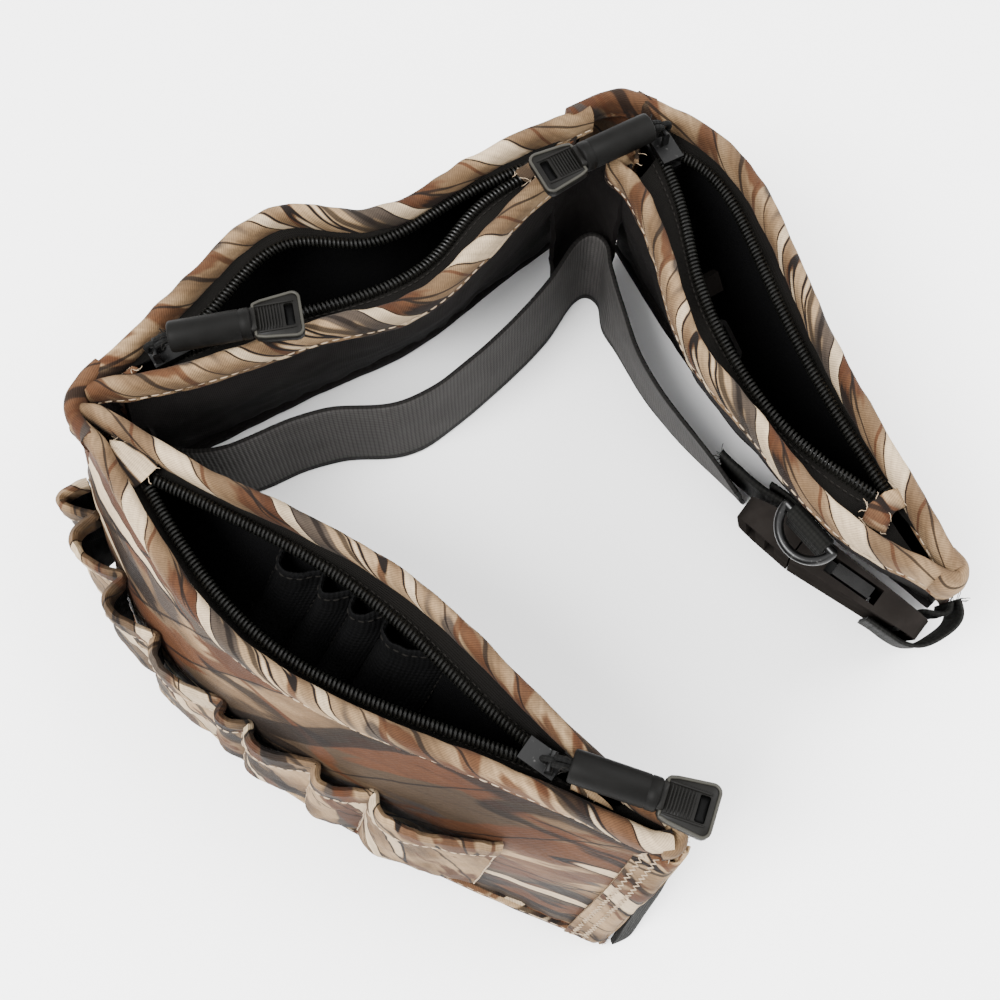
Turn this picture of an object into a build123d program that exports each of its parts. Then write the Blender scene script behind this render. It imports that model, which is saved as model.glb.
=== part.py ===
"""Camouflage belt pack standing on its edge: three zip-top pockets joined by two soft folds,
with shell loops outside, cartridge loops and a key clip inside, an elastic waist strap and a side-release buckle.

Lengths are millimetres. The plan is laid out as seen from above, X right and Y away from the open side of the belt,
and every pocket runs from the buckle end towards the strap end, so that its left-hand side faces the wearer.
The last step moves everything so that the origin is under the middle of the whole pack.
"""

import math
import os

from build123d import *

# Heights
RIM_TOP = 100.0
BINDING_HEIGHT = 12.0
PANEL_TOP = RIM_TOP - BINDING_HEIGHT
WAIST = 66.0
SEAM_HEIGHT = 8.0
TAPE_Z = 91.0
PATCH_Z = 93.7
WEB_FOOT = SEAM_HEIGHT + 0.6

# Thicknesses and widths of cloth, binding and webbing
PANEL = 3.0
BINDING = 6.0
BOTTOM_BINDING = 7.4
SEAM_SPREAD = 2.0
TAPE = 1.2
PATCH = 1.2
WEB = 2.0
WEBBING = 1.6
STRAP_WIDTH = 50.0
ELASTIC = 1.2
SLIP = 0.4

# Zip, slider and pull
COIL = 3.4
COIL_HALF_GAP = 2.3
SLIDER_LENGTH = 13.0
SLIDER_WIDTH = 8.0
BAIL_Z = 100.7
BAIL_BACK = 3.5
TUBE_RADIUS = 5.4
TUBE_LENGTH = 28.0
TUBE_START = 6.0
PLATE_LENGTH = 17.0
PLATE_THICKNESS = 4.6
PULL_RISE = 5.4

# Stretch of the rim that the zip tapes run along, as shares of its length, and their distance from the binding
TAPE_STRETCH = (0.04, 0.91)
TAPE_CLEARANCE = 1.1

# Share of a pocket's belly at each point of its outline
SWELL = (0.6, 1.0, 1.0, 1.0, 1.0, 0.4)

# Each pocket in plan: the outward faces of its two rim bindings, its bottom seam, how far its outer and inner
# panels swell, the zip's closed end, the coils between the ends, the slider and how far from the closed end it
# stops, its pull's direction in degrees, and the cloth patches over the zip's two ends. The centre pocket's slider
# stops early, where its pull meets the right pocket's.
POCKETS = {
    "right": {
        "number": 3,
        "outer": [(148, -20), (131, 18), (115, 56), (100, 104), (81, 137), (54, 155)],
        "inner": [(140, -30), (115, -16), (84, 23), (62, 58), (53, 97), (43, 121)],
        "bottom": [(169, -10), (147, 11), (119, 41), (92, 76), (73, 108), (53, 147)],
        "bellies": {"outer": 3, "inner": 3},
        "closed": (127, 1),
        "slider": (60, 135),
        "stops_short": 22.0,
        "coils": {
            "outer": [(116.5, 26), (102, 60), (89.5, 97), (74, 127)],
            "inner": [(100, 21), (80, 52), (69, 86), (65, 112)],
        },
        "pull_angle": -152.0,
        "patches": [
            [(135, -14.5), (126.5, 2), (121.5, 6), (123, -3), (129.5, -14.5)],
            [(50.8, 144), (48.2, 127.5), (50.2, 128), (50.8, 139)],
        ],
    },
    "centre": {
        "number": 2,
        "outer": [(28, 149), (-12, 128), (-50, 107), (-76, 109), (-108, 82), (-138, 46)],
        "inner": [(21, 121), (0, 97), (-30, 67), (-60, 58), (-97, 44), (-128, 36)],
        "bottom": [(25, 155), (-6, 129), (-42, 99), (-72, 84), (-105, 66), (-143, 45)],
        "bellies": {"outer": 4, "inner": 3},
        "closed": (9, 126),
        "slider": (-113.8, 52.9),
        "stops_short": 60.0,
        "coils": {
            "outer": [(-15, 115), (-49, 96.5), (-75, 96.5), (-99.5, 71.5)],
            "inner": [(-8, 111), (-24, 90), (-42, 78), (-88, 63)],
        },
        "pull_angle": 11.0,
        "patches": [
            [(27, 137.5), (18, 127.5), (9.5, 119.5), (5, 124.5), (10, 128)],
            [(-129.5, 43.4), (-124.5, 44.2), (-123.5, 46.5), (-125.5, 46.8)],
        ],
    },
    "left": {
        "number": 1,
        "outer": [(-140, 21), (-121, -10), (-90, -50), (-48, -76), (0, -95), (50.5, -117.5)],
        "inner": [(-128, 28), (-97, 9), (-56, -11), (-19, -36), (15, -70), (48.2, -100.8)],
        "bottom": [(-149, 20), (-136, -20), (-101, -62), (-56, -92), (-8, -115), (34, -132)],
        "bellies": {"outer": 7, "inner": 11},
        "closed": (-116, 5),
        "slider": (12.8, -86.6),
        "stops_short": 22.0,
        "coils": {
            "outer": [(-105.5, -15), (-74.5, -49.5), (-33, -71.5), (-6, -81.5)],
            "inner": [(-88, -7), (-62, -21), (-30, -45), (-2, -72)],
        },
        "pull_angle": -19.0,
        "patches": [
            [(-130, 18.5), (-124, 9.5), (-117.5, 1.5), (-110, 6), (-122, 13.5)],
            [(21.5, -96), (35, -102.6), (34, -101), (26, -94.2), (23, -91)],
        ],
    },
}

# Soft folds between the pockets, at their foot and at the rim
LEFT_WEB = (
    [(-145.8, 43.2), (-148.5, 38), (-149.8, 32.5), (-150, 27), (-149.8, 23)],
    [(-139.8, 42.3), (-142.8, 38), (-144, 33), (-143.4, 28), (-141, 24.2)],
)
RIGHT_WEB = (
    [(51.0, 153), (46, 154.6), (39, 154), (33, 151.5), (30.5, 150)],
    [(51.0, 153), (46, 154.6), (39, 154), (33, 151.5), (30.5, 150)],
)

# Rows of loops on the left pocket: heights, seams as shares of the panel's length, and how far each loop swells
SHELL_LOOPS = {
    "side": "outer",
    "low": 16.0,
    "high": 66.0,
    "seams": (0.012, 0.066, 0.167, 0.266, 0.397, 0.445, 0.551, 0.636, 0.815),
    "swells": (11.0, 11.5, 9.5, 7.0, 4.5, 5.5, 5.5, 7.5),
}
CARTRIDGE_LOOPS = {
    "side": "inner",
    "low": 35.0,
    "high": 77.0,
    "seams": (0.31, 0.39, 0.447, 0.509, 0.617),
    "swells": (8.5, 8.5, 8.5, 9.5),
}
LOOP_STAND_OFF = 1.4
LOOP_PROFILE = ((0.0, 0.0), (0.07, 0.46), (0.18, 0.86), (0.34, 1.0), (0.56, 0.82), (0.78, 0.44), (0.92, 0.15))

# Strap, standing on its edge: its lower and upper edge in plan
FRONT_RUN = (
    [(40, -136.5), (44, -135), (47.3, -132.5), (47.2, -128.8), (43.5, -125), (28, -109), (8, -90), (-50, -48),
     (-92, -12), (-122, 22)],
    [(47.5, -122), (53.5, -117), (58, -112.6), (58, -109), (54, -105.5), (38, -91), (20, -76), (-38, -27),
     (-90, 10), (-122, 27)],
)
LEFT_BEND = (
    [(-122.9, 24), (-126.4, 28), (-125.8, 33), (-118.8, 34)],
    [(-122.9, 27.6), (-126, 29.6), (-125, 33.3), (-118.8, 34)],
)
MIDDLE_RUN = [(-118, 34), (-88, 41), (-62, 50), (-40, 52), (-18, 65), (2, 84), (20, 105), (27, 117)]
APEX = [(27.5, 118), (30.5, 122), (36, 124.8), (41.5, 121), (43.2, 112), (43.6, 109.3)]
REAR_RUN = (
    [(43.8, 108.5), (48, 100), (58, 80), (68.5, 63.5), (80, 50.5), (90, 40), (98, 31)],
    [(43.8, 108.5), (46, 98), (52, 74), (60, 58), (70, 43), (79, 29), (86, 17)],
)

# Buckle, in its own frame: X along the strap towards the female half, Y towards the pack, Z up its width
BUCKLE_HEADING = -38.0
BUCKLE_LEAN = 17.0
BUCKLE_ORIGIN = (92.3, 16.8, 30.6)
BUCKLE_WIDTH = 59.0
BUCKLE_THICKNESS = 14.0
MALE_LENGTH = 24.0
FEMALE_START = 24.6
FEMALE_LENGTH = 51.0
MALE_BASE_HALF = 4.5
FEMALE_END_HALF = 4.0
CAVITY_LENGTH = 36.0
CAVITY_THICKNESS = 6.4
WINDOW = (36.0, 57.0)
SLOT_WIDTH = 4.6
SLOT_HEIGHT = 50.0
MALE_SLOTS = (6.5, 15.5)
FEMALE_SLOT = 69.5
LATCH_THICKNESS = 4.6
WEBBING_OUTER = [(58, -7.4), (66, -7.4), (73, -7.0), (78.5, -4), (82.3, 3), (83.8, 11), (82.2, 14.2), (79.6, 15.2)]
WEBBING_INNER = [(68.3, -4.6), (68.8, -1.5), (69.6, 1.5), (71.8, 5.8), (77.3, 8.6), (79.2, 11.2), (78.2, 13.0)]
WEBBING_WIDTH = 46.0
TAIL_LAYERS = (
    ([(-18, 11), (-8, 9.4), (3, 8.8), (11, 9.2)], 2.6),
    ([(3, 12.3), (12, 12.2), (20, 10.6)], 1.6),
)
TAIL_WIDTH = 48.0

# D-ring and its webbing tab on the wearer's side of the right pocket
RING_BAR = (104.9, -6.5, 80.0)
RING_HEADING = 128.5
RING_TILT = 45.0
RING_WIRE = 1.7
RING_BOW = 11.3
TAB_WIDTH = 17.0
TAB_LENGTH = 14.0
TAB_THICKNESS = 1.0

# Key clip that hangs inside the right pocket: anchor, buckle, swivel and tip of the hook
KEY_ANCHOR = (60.2, 99.2, 84.0)
KEY_BUCKLE = (76.0, 98.0, 60.0)
KEY_SWIVEL = (80.0, 91.0, 51.0)
KEY_TIP = (92.0, 78.0, 33.0)
KEY_STRAP_WIDTH = 10.0
KEY_HOOK_WIDTH = 7.6
KEY_HOOK_THICKNESS = 3.0

parts = {}


def vector(point, z=0.0):
    return Vector(point[0], point[1], z)


def heading(a, b):
    """Unit direction in plan from one point to another."""
    return (vector(b) - vector(a)).normalized()


def left_of(direction):
    return Vector(-direction.Y, direction.X, 0)


def moved(point, step, length=1.0):
    """Plan point moved along a direction."""
    return (point[0] + step.X * length, point[1] + step.Y * length)


def swollen(points, distances):
    """The outline with each point moved to its left by its own distance."""
    last = len(points) - 1
    result = []
    for i, (point, distance) in enumerate(zip(points, distances)):
        side = left_of(heading(points[max(i - 1, 0)], points[min(i + 1, last)]))
        result.append(moved(point, side, distance))
    return result


def shifted(points, distance):
    """The outline moved to its left by a distance, or to its right if it is negative."""
    return swollen(points, [distance] * len(points))


def between(low, high, share):
    """The outline a given share of the way from one outline to another."""
    return [(a[0] + (b[0] - a[0]) * share, a[1] + (b[1] - a[1]) * share) for a, b in zip(low, high)]


def stretch(points, start, end, count):
    """Evenly spaced points along part of an outline, between two shares of its length."""
    curve = Spline([vector(p) for p in points])
    places = [curve @ (start + (end - start) * i / count) for i in range(count + 1)]
    return [(place.X, place.Y) for place in places]


def seam_places(points, shares):
    """Points along an outline at the given shares of its length."""
    curve = Spline([vector(p) for p in points])
    return [((curve @ share).X, (curve @ share).Y) for share in shares]


def level_face(near, far, z):
    """Level face between two outlines."""
    left = Spline([vector(p, z) for p in near])
    right = Spline([vector(p, z) for p in reversed(far)])
    return Face(Wire([left, Line(left @ 1, right @ 0), right, Line(right @ 1, left @ 0)]))


def faceted_face(near, far, z):
    """Level face between two outlines with straight sides."""
    outline = Polyline([vector(p, z) for p in near + far[::-1]], close=True)
    return Face(Wire(outline.edges()))


def band(points, thickness, z, face=level_face):
    """Thin level face along an outline."""
    return face(shifted(points, thickness / 2), shifted(points, -thickness / 2), z)


def stacked(lines, heights, thickness, face=level_face):
    """Thin wall through an outline at each of several heights."""
    sections = [band(line, thickness, z, face) for line, z in zip(lines, heights)]
    return Solid.make_loft([s.outer_wire() for s in sections], True)


def plate(corners, z, thickness):
    """Level plate with straight sides."""
    return extrude(faceted_face(corners, [], z), thickness, dir=(0, 0, 1))


def upright(outline, thickness, width):
    """Strip that follows an outline in a frame's XY plane, with its width centred on that plane."""
    return extrude(band(outline, thickness, -width / 2), width, dir=(0, 0, 1))


def panel_outline(pocket, side, z):
    """Middle line of a panel at a height: straight from its foot to its waist, and from there to its top."""
    out = -1 if side == "outer" else 1
    foot = shifted(pocket["bottom"], out * SEAM_SPREAD)
    top = shifted(pocket[side], -out * BINDING / 2)
    level = between(foot, top, (WAIST - SEAM_HEIGHT) / (PANEL_TOP - SEAM_HEIGHT))
    waist = swollen(level, [out * pocket["bellies"][side] * share for share in SWELL])
    if z < WAIST:
        return between(foot, waist, (z - SEAM_HEIGHT) / (WAIST - SEAM_HEIGHT))
    return between(waist, top, (z - WAIST) / (PANEL_TOP - WAIST))


def panel(pocket, side):
    heights = (SEAM_HEIGHT, WAIST, PANEL_TOP)
    return stacked([panel_outline(pocket, side, z) for z in heights], heights, PANEL)


def end_strip(pocket, end, heights, inset, beyond):
    """Strip of cloth across a pocket's first (0) or last (-1) end, moved in from its panels and out past them."""
    neighbour = 1 if end == 0 else -2
    lines = []
    for z in heights:
        outer = panel_outline(pocket, "outer", z)
        inner = panel_outline(pocket, "inner", z)
        away = heading(outer[neighbour], outer[end]) * beyond
        across = heading(outer[end], inner[end]) * inset
        lines.append([moved(outer[end], away + across), moved(inner[end], away - across)])
    return stacked(lines, heights, WEB)


def coil_line(pocket, side):
    """Line of one zip coil: open in the middle and meeting the other coil at both ends."""
    half = COIL_HALF_GAP if side == "inner" else -COIL_HALF_GAP
    inward = left_of(heading(pocket["outer"][0], pocket["outer"][-1]))
    return [moved(pocket["closed"], inward, half)] + pocket["coils"][side] + [moved(pocket["slider"], inward, half)]


def travel(pocket):
    """Direction and length of the straight line that the slider follows."""
    step = vector(pocket["closed"]) - vector(pocket["slider"])
    return step.normalized(), step.length - pocket["stops_short"]


def travel_angle(pocket):
    direction, _ = travel(pocket)
    return math.degrees(math.atan2(direction.Y, direction.X))


def slider_envelope(pocket):
    """Space that the slider sweeps, with clearance, from its rest to the end of its travel."""
    direction, length = travel(pocket)
    middle = moved(pocket["slider"], direction, length / 2)
    size = (length + SLIDER_LENGTH + 2 * SLIP, SLIDER_WIDTH + 2 * SLIP, RIM_TOP - PANEL_TOP + 2)
    return Location((*middle, TAPE_Z), (0, 0, travel_angle(pocket))) * Box(*size)


def zip_half(pocket, side):
    """One side of the zip: a tape that runs in from the binding, with its coil along the free edge."""
    inward = 1 if side == "outer" else -1
    coil = coil_line(pocket, side)
    rim = stretch(shifted(pocket[side], inward * (BINDING + TAPE_CLEARANCE)), *TAPE_STRETCH, 7)
    tape = extrude(level_face(rim, shifted(coil, -inward * COIL / 4), TAPE_Z), TAPE, dir=(0, 0, 1))
    bead = extrude(band(coil, COIL, TAPE_Z - (COIL - TAPE) / 2), COIL, dir=(0, 0, 1))
    return (tape + bead) - slider_envelope(pocket)


def slider_place(pocket):
    return Location((*pocket["slider"], TAPE_Z + TAPE / 2), (0, 0, travel_angle(pocket)))


def pull_place(pocket):
    """Frame of the pull: X from the bail, at the back of the slider, along the cord; Z up."""
    direction, _ = travel(pocket)
    return Location((*moved(pocket["slider"], direction, -BAIL_BACK), BAIL_Z), (0, 0, pocket["pull_angle"]))


def slider(pocket):
    """Zip slider: two plates joined by a neck, flanges down both sides, and a bail that the cord goes round."""
    plate_rise = 2.7
    flange = 1.0
    body = Pos(0, 0, plate_rise) * Box(SLIDER_LENGTH, SLIDER_WIDTH, 1.4)
    body += Pos(0, 0, -plate_rise) * Box(SLIDER_LENGTH, SLIDER_WIDTH, 1.4)
    body += Pos(SLIDER_LENGTH / 2 - 3, 0, 0) * Cylinder(1.5, 2 * plate_rise)
    for side in (-1, 1):
        for level in (-2.0, 2.0):
            flange_y = side * (SLIDER_WIDTH - flange) / 2
            body += Pos(-2, flange_y, level) * Box(SLIDER_LENGTH - 4, flange, 2.0)
    bail = Rot(90, 0, 0) * Cylinder(1.0, 6.6)
    for side in (-1, 1):
        bail += Pos(0, side * 2.8, -3.3) * Box(2.4, 1.2, 6.4)
    return slider_place(pocket) * body + pull_place(pocket) * bail


def pull_cord(pocket):
    """Cord ring round the bail with its strands rising into the grip tube."""
    ring = Rot(90, 0, 0) * Torus(2.9, 1.0)
    strands = Pos(TUBE_START / 2 + 1.8, 0, PULL_RISE / 2 + 0.6) * Rot(0, -45, 0) * Box(TUBE_START - 0.5, 2.0, 2.0)
    return pull_place(pocket) * (ring + strands)


def pull_tube(pocket):
    grip = Pos(TUBE_START + TUBE_LENGTH / 2, 0, PULL_RISE) * Rot(0, 90, 0) * Cylinder(TUBE_RADIUS, TUBE_LENGTH)
    socket = Pos(TUBE_START, 0, PULL_RISE) * Box(6.0, 5.0, 8.0)
    return pull_place(pocket) * (grip - socket)


def pull_plate(pocket):
    """Flared plastic end of the pull with a slot and a ribbed finger patch."""
    root, end = 6.6, 8.8
    outline = [(0, -root), (3, -root - 1), (PLATE_LENGTH, -end), (PLATE_LENGTH, end), (3, root + 1), (0, root)]
    body = plate(outline, -PLATE_THICKNESS / 2, PLATE_THICKNESS)
    body = fillet(body.edges().filter_by(Axis.Z).sort_by(Axis.X)[-2:], 2.5)
    body -= Pos(PLATE_LENGTH - 4.5, 0, 0) * Box(3.2, 8.0, 2 * PLATE_THICKNESS)
    for rib in range(4):
        body -= Pos(3.0 + 1.9 * rib, 0, PLATE_THICKNESS / 2) * Box(0.9, 9.0, 0.8)
    return pull_place(pocket) * Pos(TUBE_START + TUBE_LENGTH + 0.1, 0, PULL_RISE) * body


def pocket_parts(pocket):
    """Everything that all three pockets have."""
    n = pocket["number"]
    for side, inward in (("outer", 1), ("inner", -1)):
        rim = shifted(pocket[side], inward * BINDING / 2)
        parts[f"{side}_panel_{n}"] = panel(pocket, side)
        parts[f"{side}_binding_{n}"] = extrude(band(rim, BINDING, PANEL_TOP), BINDING_HEIGHT, dir=(0, 0, 1))
        parts[f"zip_{side}_{n}"] = zip_half(pocket, side)
    parts[f"bottom_binding_{n}"] = extrude(band(pocket["bottom"], BOTTOM_BINDING, 0), SEAM_HEIGHT, dir=(0, 0, 1))
    patches = [plate(outline, PATCH_Z, PATCH) for outline in pocket["patches"]]
    parts[f"zip_end_patches_{n}"] = Compound(children=patches)
    parts[f"slider_{n}"] = slider(pocket)
    parts[f"pull_cord_{n}"] = pull_cord(pocket)
    parts[f"pull_tube_{n}"] = pull_tube(pocket)
    parts[f"pull_plate_{n}"] = pull_plate(pocket)


def looped(base, swells):
    """Row of soft loops: sewn down at each base point, swelling at its first end and tapering back."""
    line = []
    for a, b, swell in zip(base, base[1:], swells):
        side = left_of(heading(a, b)) * -swell
        for share, lift in LOOP_PROFILE:
            line.append((a[0] + (b[0] - a[0]) * share + side.X * lift, a[1] + (b[1] - a[1]) * share + side.Y * lift))
    return line + [base[-1]]


def loop_row(pocket, row):
    """Elastic sewn to the right-hand skin of a panel in a row of open loops."""
    heights = (row["low"], row["high"])
    lines = []
    for z in heights:
        skin = shifted(panel_outline(pocket, row["side"], z), -(PANEL + ELASTIC) / 2 - LOOP_STAND_OFF)
        lines.append(looped(seam_places(skin, row["seams"]), row["swells"]))
    return stacked(lines, heights, ELASTIC, faceted_face)


def buckle_block(length, first_half, last_half, corner, rounded_end):
    """Buckle block: half as thick as given at its first and last ends, with its width rounded at one of them."""
    outline = Polyline((0, -first_half), (length, -last_half), (length, last_half), (0, first_half), close=True)
    block = extrude(Face(Wire(outline.edges())), BUCKLE_WIDTH / 2, both=True)
    edges = block.edges().filter_by(Axis.Y).sort_by(Axis.X)
    chosen = edges[:2] if rounded_end == "first" else edges[-2:]
    return fillet(chosen, corner)


def buckle_male():
    body = buckle_block(MALE_LENGTH, MALE_BASE_HALF, BUCKLE_THICKNESS / 2, 11, "first")
    for x in MALE_SLOTS:
        body -= Pos(x, 0, 0) * Box(SLOT_WIDTH, 2 * BUCKLE_THICKNESS, SLOT_HEIGHT)
    tongue = Pos(MALE_LENGTH + 11, 0, 0) * Box(24, 3.6, 9)
    return body + tongue


def buckle_female():
    block = buckle_block(FEMALE_LENGTH, BUCKLE_THICKNESS / 2, FEMALE_END_HALF, 9, "last")
    body = Pos(FEMALE_START, 0, 0) * block
    cavity_middle = FEMALE_START + CAVITY_LENGTH / 2 - 1
    body -= Pos(cavity_middle, 0, 0) * Box(CAVITY_LENGTH + 2, CAVITY_THICKNESS, BUCKLE_WIDTH - 9)
    window_size = (WINDOW[1] - WINDOW[0], CAVITY_THICKNESS, 2 * BUCKLE_WIDTH)
    body -= Pos(sum(WINDOW) / 2, 0, 0) * Box(*window_size)
    return body - Pos(FEMALE_SLOT, 0, 0) * Box(SLOT_WIDTH + 0.8, 2 * BUCKLE_THICKNESS, SLOT_HEIGHT)


def latch(side):
    """Spring arm of the male half with its press button, on the upper (1) or lower (-1) side."""
    arm = Pos(MALE_LENGTH + 9, 0, side * 17) * Box(16, LATCH_THICKNESS, 5)
    button = Pos(sum(WINDOW) / 2, 0, side * 21.4) * Box(15, LATCH_THICKNESS, 14.6)
    return arm + button


def buckle_frame():
    flat = Location(BUCKLE_ORIGIN, (0, 0, BUCKLE_HEADING))
    return flat * Location((0, 0, 0), (BUCKLE_LEAN, 0, 0))


def ring_frame():
    """Frame of the D-ring: X along its bar, Y into the pack, Z up."""
    return Location(RING_BAR, (0, 0, RING_HEADING - 180))


def d_ring():
    """Wire D: a straight bar through the tab, and a bow that tilts out from the pack."""
    bow = Rot(90, 0, 0) * Torus(RING_BOW, RING_WIRE)
    bow -= Pos(0, 0, RING_BOW) * Box(4 * RING_BOW, 4 * RING_WIRE, 2 * RING_BOW)
    bar = Rot(0, 90, 0) * Cylinder(RING_WIRE, 2 * RING_BOW)
    ends = [Pos(side * RING_BOW, 0, 0) * Sphere(RING_WIRE) for side in (-1, 1)]
    return ring_frame() * Rot(-RING_TILT, 0, 0) * (bow + bar + ends[0] + ends[1])


def d_ring_tab():
    """Webbing that goes round the D-ring's bar and lies down the panel."""
    gap = RING_WIRE + 0.5
    outer = gap + TAB_THICKNESS
    roll = Rot(0, 90, 0) * Cylinder(outer, TAB_WIDTH)
    legs = Pos(0, outer / 2, -TAB_LENGTH / 2) * Box(TAB_WIDTH, outer, TAB_LENGTH)
    bore = Rot(0, 90, 0) * Cylinder(gap, 2 * TAB_WIDTH)
    return ring_frame() * (roll + legs - bore)


def towards(start, finish):
    """Frame at a point with its Z axis towards another point, and its X axis level."""
    direction = (Vector(*finish) - Vector(*start)).normalized()
    level = Vector(-direction.Y, direction.X, 0).normalized()
    return Plane(origin=start, x_dir=level, z_dir=direction).location


def key_clip():
    """Strip that hangs from the panel, a small buckle, and a swivel hook."""
    drop = (Vector(*KEY_BUCKLE) - Vector(*KEY_ANCHOR)).length - 4.5
    strap = Pos(0, 0, drop / 2) * Box(KEY_STRAP_WIDTH, 1.2, drop)
    parts["key_strap"] = towards(KEY_ANCHOR, KEY_BUCKLE) * strap
    eye = Pos(0, 0, 8.4) * Cylinder(1.8, 5.2)
    parts["key_buckle"] = towards(KEY_BUCKLE, KEY_SWIVEL) * (Pos(0, 0, 2) * Box(14, 4, 8) + eye)
    length = (Vector(*KEY_TIP) - Vector(*KEY_SWIVEL)).length
    shank = Pos(0, 0, 3) * Cylinder(1.6, 6)
    loop_length = length - 5
    half = KEY_HOOK_WIDTH / 2
    loop = Pos(0, 0, 5 + loop_length / 2) * Box(KEY_HOOK_WIDTH, KEY_HOOK_THICKNESS, loop_length)
    loop = fillet(loop.edges().filter_by(Axis.Y), half - 0.1)
    loop -= Pos(0, 0, 5.6 + loop_length / 2) * Box(half, 2 * KEY_HOOK_THICKNESS, loop_length - half - 1.4)
    parts["key_hook"] = towards(KEY_SWIVEL, KEY_TIP) * (shank + loop)


for pocket_data in POCKETS.values():
    pocket_parts(pocket_data)

left, centre, right = POCKETS["left"], POCKETS["centre"], POCKETS["right"]
web_heights = (WEB_FOOT, RIM_TOP)
parts["left_fold_web"] = stacked(LEFT_WEB, web_heights, WEB)
parts["right_fold_web"] = stacked(RIGHT_WEB, web_heights, WEB)
parts["end_gusset_2"] = end_strip(centre, 0, (40, PANEL_TOP - 1), 4.5, 0)
parts["end_gusset_3"] = end_strip(right, -1, (40, PANEL_TOP - 1), 4.5, 0)
parts["end_tape"] = end_strip(left, -1, (1, PANEL_TOP - 0.5), 0, 4.0)
parts["tip_tab"] = end_strip(right, 0, (10, RIM_TOP - 14), 0, 2.8)
parts["shell_loops"] = loop_row(left, SHELL_LOOPS)
parts["cartridge_loops"] = loop_row(left, CARTRIDGE_LOOPS)

strap_heights = (0, STRAP_WIDTH)
parts["strap_front"] = stacked(FRONT_RUN, strap_heights, WEBBING)
parts["strap_left_bend"] = stacked(LEFT_BEND, strap_heights, WEBBING)
parts["strap_middle"] = stacked((MIDDLE_RUN, MIDDLE_RUN), strap_heights, WEBBING)
parts["strap_apex"] = stacked((APEX, APEX), strap_heights, WEBBING)
parts["strap_rear"] = stacked(REAR_RUN, strap_heights, WEBBING)

buckle = buckle_frame()
parts["buckle_male"] = buckle * buckle_male()
parts["buckle_female"] = buckle * buckle_female()
parts["latch_upper"] = buckle * latch(1)
parts["latch_lower"] = buckle * latch(-1)
webbing_layers = [upright(line, WEBBING, WEBBING_WIDTH) for line in (WEBBING_OUTER, WEBBING_INNER)]
parts["buckle_webbing"] = buckle * Compound(children=webbing_layers)
tail_layers = [upright(line, thickness, TAIL_WIDTH) for line, thickness in TAIL_LAYERS]
parts["strap_tail"] = buckle * Compound(children=tail_layers)

parts["d_ring"] = d_ring()
parts["d_ring_tab"] = d_ring_tab()
key_clip()

whole = Compound(children=[solid for shape in parts.values() for solid in shape.solids()]).bounding_box()
origin_shift = Vector(-whole.center().X, -whole.center().Y, -whole.min.Z)

os.makedirs("parts", exist_ok=True)
for name, shape in parts.items():
    export_step(Pos(*origin_shift) * shape, f"parts/{name}.step")
print(len(parts), "nodes, size", whole.size, "shift", origin_shift)
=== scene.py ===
"""Looks of the camouflage belt pack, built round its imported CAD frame.

Outlines are in the CAD's layout: millimetres seen from above, X right and Y away from the open side of
the belt. Cloth.piece() moves them into the frame and turns them into metres. Every pocket runs from the buckle end
towards the strap end, so its right-hand side is the outside of the belt.
"""

import math
import random

import bmesh
import bpy
import numpy as np
from mathutils import Matrix, Vector, noise


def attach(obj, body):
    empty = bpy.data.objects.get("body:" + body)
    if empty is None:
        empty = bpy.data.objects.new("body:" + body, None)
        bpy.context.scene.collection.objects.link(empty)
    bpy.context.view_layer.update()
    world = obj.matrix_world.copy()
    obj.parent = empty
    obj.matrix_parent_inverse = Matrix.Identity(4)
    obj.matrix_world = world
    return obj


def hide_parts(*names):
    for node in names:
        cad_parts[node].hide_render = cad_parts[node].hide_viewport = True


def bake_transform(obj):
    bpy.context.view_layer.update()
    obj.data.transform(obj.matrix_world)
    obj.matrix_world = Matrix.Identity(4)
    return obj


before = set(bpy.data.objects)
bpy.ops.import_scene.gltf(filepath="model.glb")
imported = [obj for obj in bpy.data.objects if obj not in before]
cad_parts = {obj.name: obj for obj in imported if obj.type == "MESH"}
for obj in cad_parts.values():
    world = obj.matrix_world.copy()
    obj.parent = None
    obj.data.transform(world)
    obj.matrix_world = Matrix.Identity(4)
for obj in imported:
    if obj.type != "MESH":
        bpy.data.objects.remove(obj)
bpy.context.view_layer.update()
chance = random.Random(11)

MM = 0.001
ORIGIN = np.array((-4.71063, -10.25, 0.0))

# Sizes shared with the CAD
RIM_TOP = 100.0
BINDING = 6.0
BINDING_HEIGHT = 12.0
PANEL_TOP = RIM_TOP - BINDING_HEIGHT
WAIST = 66.0
SEAM_HEIGHT = 8.0
SEAM_SPREAD = 2.0
BOTTOM_BINDING = 7.4
PANEL = 3.0
WEB_FOOT = 8.6
TAPE_Z = 91.0
PATCH_Z = 93.7
STRAP_WIDTH = 50.0
WEBBING = 1.6
COIL_HALF_GAP = 2.3
BAIL_Z = 100.7
BAIL_BACK = 3.5
PULL_RISE = 5.4
TUBE_START = 6.0
TUBE_LENGTH = 28.0
TUBE_RADIUS = 5.4
PLATE_LENGTH = 17.0
SWELL = (0.6, 1.0, 1.0, 1.0, 1.0, 0.4)

# Sizes that only the looks have
COIL_PITCH = 1.53
LOOP_STEPS = 5
RIM_STEPS = 26
TAPE_SAG = 1.6
TAPE_SEAM = 0.72
YARN = 0.13
END_CLOTH = 2.0
COIL_WIRE = 0.42
STITCH_PITCH = 4.0
THREAD = 0.32
PER_SPAN = 18
SHARP = math.radians(62)

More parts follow.
